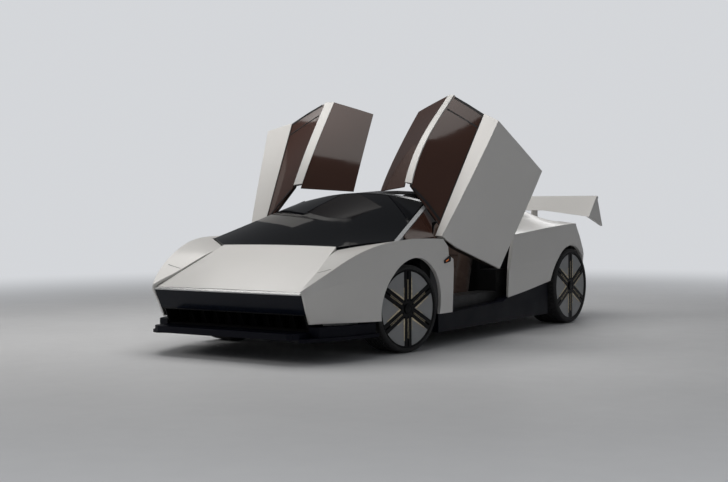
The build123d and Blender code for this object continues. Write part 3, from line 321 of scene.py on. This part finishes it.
PILLAR_GREY = (0.42, 0.43, 0.44)
HEADER_BLACK = (0.012, 0.012, 0.014)


def pillar_paint():
    """Satin light grey of the windscreen pillars, black from the header back."""
    made = Finish("pillar_grey", PILLAR_GREY, 0.30)
    place = made.node("ShaderNodeSeparateXYZ")
    made.tree.links.new(made.coords, place.inputs["Vector"])
    made.vary_colour(place.outputs["Y"], PILLAR_GREY, HEADER_BLACK, HEADER_Y - 0.001, HEADER_Y)
    made.vary_roughness(made.noise(9.0), 0.22, 0.34)
    made.bump(made.noise(380.0), 0.04, 0.0003)
    return made.made


def bright_metal(name="bright_lip", colour=(0.82, 0.82, 0.81)):
    """Brushed bright metal, its brushing along the car's width."""
    made = Finish(name, colour, 0.22, 1.0)
    grain = made.noise(60.0, 4.0, (0.6, 14.0, 14.0))
    made.vary_roughness(grain, 0.15, 0.30)
    made.bump(grain, 0.05, 0.0002)
    return made.made


def tyre_rubber():
    """Matt black rubber with a little bloom."""
    made = Finish("tyre_rubber", (0.012, 0.012, 0.013), 0.72)
    made.vary_colour(made.noise(14.0), (0.010, 0.010, 0.011), (0.020, 0.020, 0.021))
    made.vary_roughness(made.noise(60.0), 0.62, 0.80)
    made.bump(made.noise(900.0, 2.0), 0.2, 0.0003)
    return made.made


def shade_darkened_leather():
    """Brown leather trim with a pebbled grain, its colour made near-black as painted shade inside the cabin
    and the open door.
    """
    # These near-black colours are painted shade of the cabin's inside laid over a brown leather.
    made = Finish("shade_darkened_leather", (0.013, 0.008, 0.0065), 0.55)
    made.vary_colour(made.noise(10.0), (0.011, 0.007, 0.0055), (0.016, 0.010, 0.008))
    made.set("Specular IOR Level", 0.3)
    cells = made.node("ShaderNodeTexVoronoi", Scale=420.0)
    made.tree.links.new(made.coords, cells.inputs["Vector"])
    made.vary_roughness(made.noise(30.0), 0.44, 0.60)
    made.bump(cells.outputs["Distance"], 0.25, 0.0006)
    made.bump(made.noise(24.0), 0.2, 0.002)
    return made.made


def seat_cloth():
    """Brown woven seat cloth with a two-way weave."""
    made = Finish("seat_cloth", (0.085, 0.048, 0.034), 0.85)
    made.vary_colour(made.noise(9.0), (0.078, 0.043, 0.030), (0.100, 0.058, 0.042))
    for direction in ("X", "Z"):
        weave = made.node("ShaderNodeTexWave", Scale=210.0, Distortion=0.4)
        weave.bands_direction = direction
        made.tree.links.new(made.coords, weave.inputs["Vector"])
        made.bump(weave.outputs["Fac"], 0.35, 0.0006)
    made.set("Sheen Weight", 0.25).set("Sheen Roughness", 0.5)
    return made.made


def composite():
    """Dark woven composite of the passenger tub."""
    made = Finish("dark_composite", (0.010, 0.010, 0.011), 0.46)
    for turn in (math.radians(45.0), math.radians(-45.0)):
        weave = made.node("ShaderNodeTexWave", Scale=90.0)
        made.tree.links.new(made.mapped(turn=(0.0, 0.0, turn)), weave.inputs["Vector"])
        made.bump(weave.outputs["Fac"], 0.12, 0.0005)
    made.vary_roughness(made.noise(18.0), 0.34, 0.50)
    return made.made


def forged_alloy():
    """Machined and forged grey alloy."""
    made = Finish("forged_alloy", (0.33, 0.335, 0.34), 0.42, 0.9)
    made.vary_roughness(made.noise(26.0, 4.0), 0.34, 0.55)
    made.bump(made.noise(160.0), 0.12, 0.0005)
    return made.made


def cast_block():
    """Sand-cast engine block."""
    made = Finish("cast_block", (0.14, 0.143, 0.147), 0.66, 0.6)
    made.vary_colour(made.noise(20.0), (0.12, 0.122, 0.125), (0.17, 0.172, 0.176))
    made.bump(made.noise(240.0, 5.0), 0.35, 0.001)
    return made.made


def lamp_red():
    """Clear red lamp glass over a darker body."""
    made = Finish("lamp_red", (0.30, 0.012, 0.010), 0.12)
    ribs = made.node("ShaderNodeTexWave", Scale=60.0)
    made.tree.links.new(made.coords, ribs.inputs["Vector"])
    made.bump(ribs.outputs["Fac"], 0.15, 0.0006)
    made.set("Coat Weight", 0.8).set("Coat Roughness", 0.03)
    made.set("Transmission Weight", 0.2)
    return made.made


def orange_marker():
    """Orange side marker."""
    made = Finish("orange_marker", (0.72, 0.16, 0.03), 0.2)
    made.vary_colour(made.noise(60.0), (0.66, 0.14, 0.025), (0.80, 0.20, 0.04))
    made.set("Emission Color", (1.0, 0.25, 0.05, 1.0)).set("Emission Strength", 0.25)
    made.set("Coat Weight", 0.6)
    return made.made


def champagne():
    """Champagne-coloured machined edge lines of the spokes."""
    made = Finish("champagne_edge", (0.74, 0.64, 0.46), 0.34, 0.6)
    made.vary_roughness(made.noise(120.0), 0.22, 0.40)
    made.bump(made.noise(500.0), 0.05, 0.0002)
    return made.made


FINISHES = {
    "body_white": body_paint(),
    "tyre_rubber": tyre_rubber(),
    "rim_black": rim_paint(),
    "cover_grey": cover_paint(),
    "tinted_glass": bronze_glass(),
    "dark_glass": dark_glass(),
    "cabin_trim": shade_darkened_leather(),
    "seat_fabric": seat_cloth(),
    "navy_trim": navy_gloss("navy_trim", (0.0028, 0.0034, 0.008), 0.38, 0.0),
    "gloss_band": navy_gloss("gloss_band", (0.0025, 0.0045, 0.010), 0.18, 0.10),
    "bright_lip": bright_metal(),
    "pillar_grey": pillar_paint(),
    "tub_composite": composite(),
    "black_plastic": moulded_black(),
    "forged_alloy": forged_alloy(),
    "cast_block": cast_block(),
    "lamp_red": lamp_red(),
    "camera_shell": moulded_black("camera_shell", (0.02, 0.02, 0.022)),
    "wheel_leather": moulded_black("wheel_leather", (0.03, 0.022, 0.018)),
    "champagne": champagne(),
    "orange_marker": orange_marker(),
}


def finish_nodes():
    """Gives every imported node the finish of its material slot."""
    slots = {part["node"]: part["material_slot"] for part in frame["record"]["subparts"]}
    for name, node in NODES.items():
        node.data.materials.clear()
        node.data.materials.append(FINISHES[slots[name]])


# Modelling helpers
def deselect_all():
    """Leaves nothing selected, so that an operator acts on its own piece alone."""
    bpy.ops.object.select_all(action="DESELECT")


def trace(name, points, face=True):
    """An outline grown from one vertex, edge by edge, and closed with a face."""
    deselect_all()
    bpy.ops.mesh.primitive_plane_add(size=0.01, location=points[0])
    piece = bpy.context.object
    piece.name = name
    bpy.ops.object.mode_set(mode="EDIT")
    bpy.ops.mesh.merge(type="CENTER")
    for last, here in zip(points, points[1:]):
        step = Vector(here) - Vector(last)
        bpy.ops.mesh.extrude_region_move(TRANSFORM_OT_translate={"value": step})
    if face:
        bpy.ops.mesh.select_all(action="SELECT")
        bpy.ops.mesh.edge_face_add()
    return piece


def finish_piece(piece, finish, body, smooth=35.0):
    """Sets the place into the mesh, and gives the shading, the finish and the body."""
    if bpy.context.mode != "OBJECT":
        bpy.ops.object.mode_set(mode="OBJECT")
    deselect_all()
    piece.select_set(True)
    bpy.context.view_layer.objects.active = piece
    bpy.ops.object.transform_apply(location=True, rotation=True, scale=True)
    bpy.ops.object.shade_smooth_by_angle(angle=math.radians(smooth))
    piece.data.materials.clear()
    piece.data.materials.append(FINISHES[finish])
    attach(piece, body)
    return piece


def block(name, outline, push, finish, body, bevel=0.0, segments=2):
    """A flat outline pushed into a solid, its edges rounded."""
    piece = trace(name, outline)
    bpy.ops.mesh.extrude_region_move(TRANSFORM_OT_translate={"value": Vector(push)})
    bpy.ops.mesh.select_all(action="SELECT")
    bpy.ops.mesh.normals_make_consistent(inside=False)
    if bevel > 0.0:
        bpy.ops.mesh.bevel(offset=bevel, segments=segments)
    return finish_piece(piece, finish, body)


def strip_outline(path, width, normal):
    """The outline of a strip of even width that follows a path on a surface."""
    up = Vector(normal).normalized()
    rows = [Vector(p) for p in path]
    left, right = [], []
    for index, here in enumerate(rows):
        before = rows[max(index - 1, 0)]
        after = rows[min(index + 1, len(rows) - 1)]
        way = (after - before).normalized()
        side = way.cross(up).normalized()
        turn = (after - here).normalized() if index < len(rows) - 1 else way
        wide = width / 2 / max(0.35, abs(turn.cross(up).normalized().dot(side)))
        left.append(here + side * wide)
        right.append(here - side * wide)
    return left + right[::-1]


def strip(name, path, width, height, normal, finish, body, bevel=0.0):
    """A raised strip along a path on a surface, its height along the normal."""
    push = Vector(normal).normalized() * height
    return block(name, strip_outline(path, width, normal), push, finish, body, bevel, 1)


def joined(name, parts):
    """Several pieces on one body made one."""
    deselect_all()
    for part in parts:
        part.select_set(True)
    bpy.context.view_layer.objects.active = parts[0]
    bpy.ops.object.join()
    parts[0].name = name
    return parts[0]


def twin(piece, name, body):
    """The piece's mirror image on the car's right side."""
    copy = bpy.data.objects.new(name, piece.data.copy())
    bpy.context.scene.collection.objects.link(copy)
    copy.matrix_world = Matrix.Scale(-1.0, 4, (1.0, 0.0, 0.0))
    deselect_all()
    copy.select_set(True)
    bpy.context.view_layer.objects.active = copy
    bpy.ops.object.transform_apply(location=True, rotation=True, scale=True)
    bpy.ops.object.mode_set(mode="EDIT")
    bpy.ops.mesh.select_all(action="SELECT")
    bpy.ops.mesh.normals_make_consistent(inside=False)
    bpy.ops.object.mode_set(mode="OBJECT")
    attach(copy, body)
    return copy


def put(piece, turn):
    """Moves a finished mesh by a matrix."""
    piece.data.transform(turn)
    piece.data.update()
    return piece


# Wheels
RIM_SHARE = 0.893
TREAD_STEPS = 120
SPOKES = 6
SPOKE_SLOT = 0.041
COVER_FACE = 0.010
GROOVES = 4
TREAD_DEPTH = 0.006
LINE_WIDTH = 0.006
LINE_HEIGHT = 0.0035
SPOKE_FACE = 0.008
CAP_RADIUS = 0.040
CAP_DEPTH = 0.010


def steered(side):
    """The turn of a front wheel about its kingpin, as the car stands."""
    pin = Vector((side * KINGPIN_X, FRONT_AXLE.y, 0.0))
    return Matrix.Translation(pin) @ Matrix.Rotation(REST_STEER, 4, "Z") @ Matrix.Translation(-pin)


def tyre(name, axle, radius, width, face_x, body, node):
    """A tyre with grooves and tread pockets, spun about the axle from its section."""
    inner_x = face_x - width
    rim = radius * RIM_SHARE
    section = [(inner_x + 0.008, rim), (face_x - 0.006, rim), (face_x - 0.001, rim + 0.006),
               (face_x - 0.002, rim + 0.010), (face_x, rim + 0.016), (face_x - 0.003, radius - 0.014),
               (face_x - 0.010, radius - 0.006), (face_x - 0.022, radius - 0.0015)]
    rib = (width - 0.044) / (GROOVES + 1)
    for index in range(GROOVES):
        groove_x = face_x - 0.022 - rib * (index + 1)
        section += [(groove_x + 0.005, radius), (groove_x + 0.0035, radius - TREAD_DEPTH),
                    (groove_x - 0.0035, radius - TREAD_DEPTH), (groove_x - 0.005, radius)]
    section += [(inner_x + 0.022, radius - 0.0015), (inner_x + 0.004, radius - 0.010), (inner_x, rim + 0.016)]
    piece = trace(name, [(x, axle.y, axle.z + r) for x, r in section], face=False)
    bpy.ops.mesh.select_all(action="SELECT")
    bpy.ops.mesh.edge_face_add()
    bpy.ops.mesh.delete(type="ONLY_FACE")
    bpy.ops.mesh.select_all(action="SELECT")
    bpy.ops.mesh.spin(steps=TREAD_STEPS, angle=math.tau, center=(0.0, axle.y, axle.z), axis=(1.0, 0.0, 0.0))
    bpy.ops.mesh.select_all(action="SELECT")
    bpy.ops.mesh.remove_doubles(threshold=0.0003)
    bpy.ops.mesh.select_all(action="SELECT")
    bpy.ops.mesh.normals_make_consistent(inside=False)
    mesh = bmesh.from_edit_mesh(piece.data)
    mesh.faces.ensure_lookup_table()
    base = piece.matrix_world.translation
    for face in mesh.faces:
        place = face.calc_center_median() + base
        reach = math.hypot(place.y - axle.y, place.z - axle.z)
        angle = math.atan2(place.y - axle.y, place.z - axle.z) % math.tau
        step = int(angle / math.tau * TREAD_STEPS)
        face.select = reach > radius - 0.0012 and step % 2 == 0
    bmesh.update_edit_mesh(piece.data)
    bpy.ops.mesh.inset(thickness=0.0055, depth=-0.004, use_individual=True)
    finish_piece(piece, "tyre_rubber", body, 28.0)
    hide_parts(node)
    return piece


def around(axle, angle):
    """A turn about a wheel's axle."""
    place = Matrix.Translation((0.0, axle.y, axle.z))
    return place @ Matrix.Rotation(angle, 4, "X") @ place.inverted()


def wheel_lines(name, axle, radius, face_x, body):
    """Champagne lines in a V between each pair of spokes and along the spokes, and a hub cap."""
    outer = radius * RIM_SHARE - 0.020
    x = face_x - COVER_FACE - 0.001
    edge = SPOKE_SLOT + 0.003
    apex = edge / math.sin(math.pi / SPOKES)
    outward = (1.0, 0.0, 0.0)
    parts = []
    for index in range(SPOKES):
        turn = around(axle, index * math.tau / SPOKES)
        arm = Matrix.Rotation(-math.pi / SPOKES, 3, "X") @ Vector((0.0, 0.0, apex))
        far = outer * 0.86
        near = outer * 0.58
        first = Vector((0.0, edge, far))
        turned_end = Matrix.Rotation(-math.tau / SPOKES, 3, "X") @ Vector((0.0, -edge, near))
        path = [Vector((x, axle.y, axle.z)) + p for p in (first, arm, turned_end)]
        line = strip("line", path, LINE_WIDTH, LINE_HEIGHT, outward, "champagne", body)
        parts.append(put(line, turn))
        for sign in (-1.0, 1.0):
            blade = [Vector((face_x - SPOKE_FACE, axle.y + sign * 0.004, axle.z + 0.075)),
                     Vector((face_x - SPOKE_FACE, axle.y + sign * 0.006, axle.z + outer * 0.80))]
            rim_line = strip("line", blade, 0.0022, 0.0015, outward, "champagne", body)
            parts.append(put(rim_line, turn))
    lines = joined(name + "_lines", parts)
    deselect_all()
    place = (face_x - 0.0035, axle.y, axle.z)
    bpy.ops.mesh.primitive_cylinder_add(vertices=48, radius=CAP_RADIUS, depth=CAP_DEPTH, location=place,
                                        rotation=(0.0, math.pi / 2, 0.0))
    cap = bpy.context.object
    cap.name = name + "_hub_cap"
    bpy.ops.object.mode_set(mode="EDIT")
    mesh = bmesh.from_edit_mesh(cap.data)
    for face in mesh.faces:
        face.select = len(face.verts) > 4 and face.normal.z > 0.5
    bmesh.update_edit_mesh(cap.data)
    bpy.ops.mesh.inset(thickness=0.007, depth=0.0)
    bpy.ops.mesh.inset(thickness=0.003, depth=-0.003)
    bpy.ops.mesh.inset(thickness=0.010, depth=0.0015)
    finish_piece(cap, "rim_black", body)
    return [lines, cap]


def dress_wheels():
    """Tyres, spoke lines and hub caps of the four wheels."""
    front = ("front", FRONT_AXLE, FRONT_RADIUS, FRONT_WIDTH, FRONT_FACE_X)
    rear = ("rear", REAR_AXLE, REAR_RADIUS, REAR_WIDTH, REAR_FACE_X)
    for place, axle, radius, width, face_x in (front, rear):
        left_body = "wheel_" + place + "_left"
        right_body = "wheel_" + place + "_right"
        tread = tyre("tread_" + place + "_left", axle, radius, width, face_x, left_body,
                     "tyre_" + place + "_left")
        lines, cap = wheel_lines("wheel_" + place + "_left", axle, radius, face_x, left_body)
        for piece, finish in ((tread, "tyre_rubber"), (lines, "champagne"), (cap, "rim_black")):
            other = twin(piece, piece.name.replace("left", "right"), right_body)
            if piece is tread:
                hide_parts("tyre_" + place + "_right")
            if place == "front":
                put(piece, steered(1.0))
                put(other, steered(-1.0))


# Doors: the closed door's points, turned open about the hinge
HINGE_POINT = Vector((0.850, -0.725, 0.844))
HINGE_WAY = Vector((0.828, -0.351, -0.437)).normalized()
DOOR_TURN = (Matrix.Translation(HINGE_POINT) @ Matrix.Rotation(DOOR_ANGLE, 4, HINGE_WAY)
             @ Matrix.Translation(-HINGE_POINT))
# The closed door's lines: y, then (x, z) of the shoulder strip's inner edge and the rail's edges
DOOR_LINES = [
    (-0.420, (0.877, 0.886), (0.687, 1.168), (0.613, 1.202)),
    (-0.100, (0.839, 0.902), (0.621, 1.216), (0.545, 1.243)),
    (0.250, (0.797, 0.919), (0.548, 1.200), (0.470, 1.222)),
    (0.600, (0.755, 0.936), (0.476, 1.152), (0.396, 1.170)),
]


GLASS_SET = 0.004


def glass_point(y, share, proud):
    """A point of the closed side glass at a station, a share of the way from the strip to the rail."""
    rows = DOOR_LINES
    index = max(i for i in range(len(rows) - 1) if rows[i][0] <= max(y, rows[0][0]))
    first, second = rows[index], rows[index + 1]
    along = (y - first[0]) / (second[0] - first[0])
    low = [a + (b - a) * along for a, b in zip(first[1], second[1])]
    high = [a + (b - a) * along for a, b in zip(first[2], second[2])]
    out = Vector((high[1] - low[1], 0.0, low[0] - high[0])).normalized()
    place = Vector((low[0] + (high[0] - low[0]) * share, y, low[1] + (high[1] - low[1]) * share))
    return place + out * (proud - GLASS_SET), out


def window_line(name, ends, width):
    """A black strip on the side glass, through points given as station and share of its height."""
    points, outs = zip(*[glass_point(y, share, 0.0006) for y, share in ends])
    out = sum(outs, Vector()) / len(outs)
    turn = DOOR_TURN.to_3x3()
    path = [DOOR_TURN @ point for point in points]
    return strip(name, path, width, 0.0022, turn @ out, "black_plastic", "door_left")


def dress_doors():
    """Seals round the side windows and a line in front of the rear post."""
    lines = [
        window_line("seal", [(0.452, 0.03), (0.505, 0.50), (0.548, 0.93)], 0.020),
        window_line("seal", [(-0.560, 0.03), (-0.470, 0.47), (-0.392, 0.93)], 0.018),
        window_line("seal", [(0.330, 0.05), (0.372, 0.50), (0.415, 0.95)], 0.012),
        window_line("seal", [(-0.550, 0.012), (-0.200, 0.012), (0.150, 0.012), (0.450, 0.012)], 0.012),
    ]
    seals = joined("door_seals_left", lines)
    twin(seals, "door_seals_right", "door_right")


# Seats
SEAT_HALF = 0.235
PAD_VOXEL = 0.008
PAD_CAP = 0.022
CUSHION_SIDE = [(-0.316, 0.176), (-0.334, 0.298), (-0.292, 0.329), (0.126, 0.256), (0.152, 0.176)]
CUSHION_CENTRE = [(-0.316, 0.176), (-0.330, 0.284), (-0.292, 0.306), (0.126, 0.234), (0.152, 0.176)]
BACK_SIDE = [(0.180, 0.178), (0.146, 0.286), (0.402, 0.950), (0.440, 0.984), (0.486, 0.950),
             (0.456, 0.800), (0.288, 0.178)]
BACK_CENTRE = [(0.180, 0.178), (0.176, 0.286), (0.424, 0.940), (0.446, 0.978), (0.486, 0.948),
               (0.456, 0.800), (0.288, 0.178)]
PAD_INSET = 0.014
BOLSTER_WIDTH = 0.092
PAD_PRESSURE = 4.0
PAD_FRAMES = 20
PIPING_RADIUS = 0.0022
PIPING_PROUD = 0.0006
SEAM_STEPS = 12
SEAM_X = 0.135
CHANNEL_HALF = 0.13


def side_block(name, side, low_x, high_x, bevel):
    """A side profile pushed across the car."""
    outline = [(low_x, y, z) for y, z in side]
    return block(name, outline, (high_x - low_x, 0.0, 0.0), "seat_fabric", "chassis", bevel)


def puffed(piece):
    """Remeshes the pad evenly and fills it with air as cloth, each point's way capped."""
    deselect_all()
    piece.select_set(True)
    bpy.context.view_layer.objects.active = piece
    even = piece.modifiers.new("even", "REMESH")
    even.mode = "VOXEL"
    even.voxel_size = PAD_VOXEL
    bpy.ops.object.modifier_apply(modifier="even")
    start = [vertex.co.copy() for vertex in piece.data.vertices]
    cloth = piece.modifiers.new("air", "CLOTH")
    cloth.settings.use_pressure = True
    cloth.settings.uniform_pressure_force = PAD_PRESSURE
    cloth.settings.effector_weights.gravity = 0.0
    cloth.point_cache.frame_start = 1
    cloth.point_cache.frame_end = PAD_FRAMES
    for frame_number in range(1, PAD_FRAMES + 1):
        bpy.context.scene.frame_set(frame_number)
    bpy.ops.object.modifier_apply(modifier="air")
    bpy.context.scene.frame_set(1)
    for vertex, first in zip(piece.data.vertices, start):
        way = vertex.co - first
        if way.length > PAD_CAP:
            vertex.co = first + way.normalized() * PAD_CAP
    finer = piece.modifiers.new("finer", "SUBSURF")
    finer.levels = 1
    finer.render_levels = 1
    bpy.ops.object.modifier_apply(modifier="finer")
    bpy.ops.object.shade_smooth()
    return piece


def seam(pad, path, way):
    """Piping laid on a pad along a path that is cast onto it."""
    towards = Vector(way)
    tree = bvhtree.BVHTree.FromObject(pad, bpy.context.evaluated_depsgraph_get())
    points = []
    for first, last in zip(path, path[1:]):
        for step in range(SEAM_STEPS):
            start = Vector(first).lerp(Vector(last), step / SEAM_STEPS) - towards * 0.12
            hit = tree.ray_cast(start, towards)[0]
            if hit is not None:
                points.append(hit - towards * PIPING_PROUD)
    return tube("seam", points, PIPING_RADIUS, "cabin_trim", "chassis")


def tube(name, points, radius, finish, body):
    """A round tube along points."""
    piece = trace(name, points, face=False)
    bpy.ops.object.mode_set(mode="OBJECT")
    bpy.ops.object.convert(target="CURVE")
    piece = bpy.context.object
    piece.data.bevel_depth = radius
    piece.data.bevel_resolution = 2
    piece.data.use_fill_caps = True
    bpy.ops.object.convert(target="MESH")
    return finish_piece(bpy.context.object, finish, body)


def seat_pad(name, node, side, centre):
    """One pad of the left seat, its bolsters and recessed centre grown together, and its twin."""
    low_x = SEAT_X - SEAT_HALF + PAD_INSET
    high_x = SEAT_X + SEAT_HALF - PAD_INSET
    parts = [side_block("bolster", side, low_x, low_x + BOLSTER_WIDTH, 0.012),
             side_block("bolster", side, high_x - BOLSTER_WIDTH, high_x, 0.012),
             side_block("centre", centre, low_x + 0.06, high_x - 0.06, 0.010)]
    pad = puffed(joined(name + "_left", parts))
    other = twin(pad, name + "_right", "chassis")
    for piece in (pad, other):
        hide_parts(node)
    return pad


def dress_seats():
    """Cushions and backs with their seams and sewn channels."""
    cushion = seat_pad("cushion", "seat_cushions", CUSHION_SIDE, CUSHION_CENTRE)
    back = seat_pad("back", "seat_backs", BACK_SIDE, BACK_CENTRE)
    down = (0.0, 0.0, -1.0)
    rearward = (0.0, 1.0, 0.0)
    seams = []
    for x in (SEAT_X - SEAM_X, SEAT_X + SEAM_X):
        seams.append(seam(cushion, [(x, -0.315, 0.33), (x, 0.10, 0.26)], down))
        seams.append(seam(back, [(x, 0.17, 0.33), (x, 0.40, 0.90)], rearward))
    inner, outer = SEAT_X - CHANNEL_HALF, SEAT_X + CHANNEL_HALF
    for y in (-0.22, -0.12, -0.02, 0.08):
        seams.append(seam(cushion, [(inner, y, 0.30), (outer, y, 0.30)], down))
    for z in (0.38, 0.48, 0.58, 0.68, 0.78):
        seams.append(seam(back, [(inner, 0.2, z), (outer, 0.2, z)], rearward))
    lines = joined("seat_seams_left", seams)
    twin(lines, "seat_seams_right", "chassis")


# Cabin
SCREEN_HALF = 0.60
VENT_PITCH = 0.018
BUTTON_HALF = 0.016
BUTTON_PITCH = 0.05
BUTTON_Z = 0.470


def upright(low_x, high_x, y, low_z, high_z):
    """A rectangle that stands across the car."""
    return [(low_x, y, low_z), (high_x, y, low_z), (high_x, y, high_z), (low_x, y, high_z)]


def dress_cabin():
    """Dash screen with its glass, dash vents and console buttons."""
    screen_side = [(-SCREEN_HALF, -0.742, 0.822), (SCREEN_HALF, -0.742, 0.822),
                   (SCREEN_HALF, -0.735, 0.874), (-SCREEN_HALF, -0.735, 0.874)]
    block("dash_screen", screen_side, (0.0, 0.012, 0.0), "black_plastic", "chassis", 0.003)
    vents = []
    for x in (-0.52, -0.20, 0.0, 0.20, 0.54):
        for row in range(4):
            z = 0.668 + row * VENT_PITCH
            y = -0.6335 + (z - 0.640) * 0.25
            blade = upright(x - 0.05, x + 0.05, y, z, z + 0.007)
            vents.append(block("vent", blade, (0.0, 0.006, 0.0), "black_plastic", "chassis", 0.001))
    joined("dash_vents", vents)
    block("screen_glass", upright(-0.585, 0.585, -0.7225, 0.831, 0.866), (0.0, 0.0015, 0.0), "dark_glass",
          "chassis", 0.0005)
    corners = ((-1, -1), (1, -1), (1, 1), (-1, 1))
    buttons = []
    for row in range(5):
        y = -0.30 + row * BUTTON_PITCH
        for x in (-0.045, 0.0, 0.045):
            face = [(x + i * BUTTON_HALF, y + j * BUTTON_HALF, BUTTON_Z) for i, j in corners]
            buttons.append(block("button", face, (0.0, 0.0, 0.003), "black_plastic", "chassis", 0.001))
    joined("console_buttons", buttons)


# Outside
LOUVRE_ROWS = 7
LOUVRE_PITCH = 0.085
TAIL_FACE_Y = 2.1895
TAIL_PANEL = [(-0.60, 0.500), (0.60, 0.500), (0.655, 0.610), (0.630, 0.700), (-0.630, 0.700), (-0.655, 0.610)]
SLAT_PITCH = 0.030
LAMP_BARS = 24
LAMP_BAR_PITCH = 0.0545
LAMP_LEAN = 0.004


def laid(tree, start):
    """The point straight below a start, a hair above the surface."""
    return tree.ray_cast(Vector(start), Vector((0.0, 0.0, -1.0)))[0] + Vector((0.0, 0.0, 0.0008))


def dress_outside():
    """Side markers, louvres, the dark tail panel, lamp bars and the fenders' short shut lines."""
    marker_side = [(1.0375, -0.846, 0.684), (1.0375, -0.806, 0.696), (1.0375, -0.806, 0.706),
                   (1.0375, -0.846, 0.692)]
    marker = block("side_marker_left", marker_side, (0.0018, 0.0, 0.0), "orange_marker", "chassis", 0.0006)
    twin(marker, "side_marker_right", "chassis")

    cover = bvhtree.BVHTree.FromObject(NODES["engine_cover"], bpy.context.evaluated_depsgraph_get())
    louvres = []
    for index in range(LOUVRE_ROWS):
        y = 0.78 + index * LOUVRE_PITCH
        for sign in (-1.0, 1.0):
            path = [laid(cover, (sign * (0.025 + 0.0675 * step), y, 1.4)) for step in range(5)]
            normal = Vector((sign * (path[0].z - path[-1].z), 0.10, abs(path[-1].x))).normalized()
            louvres.append(strip("louvre", path, 0.036, 0.005, normal, "black_plastic", "engine_cover"))
    joined("cover_louvres", louvres)

    plate = [(x, TAIL_FACE_Y, z) for x, z in TAIL_PANEL]
    panel = [block("panel", plate, (0.0, 0.004, 0.0), "black_plastic", "chassis", 0.0015)]
    for row in range(6):
        z = 0.520 + row * SLAT_PITCH
        slat = upright(-0.59, 0.59, 2.193, z, z + 0.012)
        panel.append(block("slat", slat, (0.0, 0.010, 0.0), "black_plastic", "chassis", 0.003))
    joined("tail_panel", panel)

    bars = []
    for index in range(LAMP_BARS):
        x = -0.638 + index * LAMP_BAR_PITCH
        bar = [(x, 2.1875, 0.746), (x + 0.022, 2.1875, 0.746), (x + 0.022 + LAMP_LEAN, 2.1875, 0.768),
               (x + LAMP_LEAN, 2.1875, 0.768)]
        bars.append(block("bar", bar, (0.0, 0.0022, 0.0), "lamp_red", "chassis", 0.0006))
    joined("lamp_bars", bars)

    line = strip("fender_line_right", [(-0.798, -2.070, 0.6778), (-0.672, -2.064, 0.6486)], 0.003, 0.0012,
                 (0.22, -0.42, 0.88), "black_plastic", "chassis")
    twin(line, "fender_line_left", "chassis")


add_camera()
add_studio()
finish_nodes()
dress_wheels()
dress_doors()
dress_seats()
dress_cabin()
dress_outside()
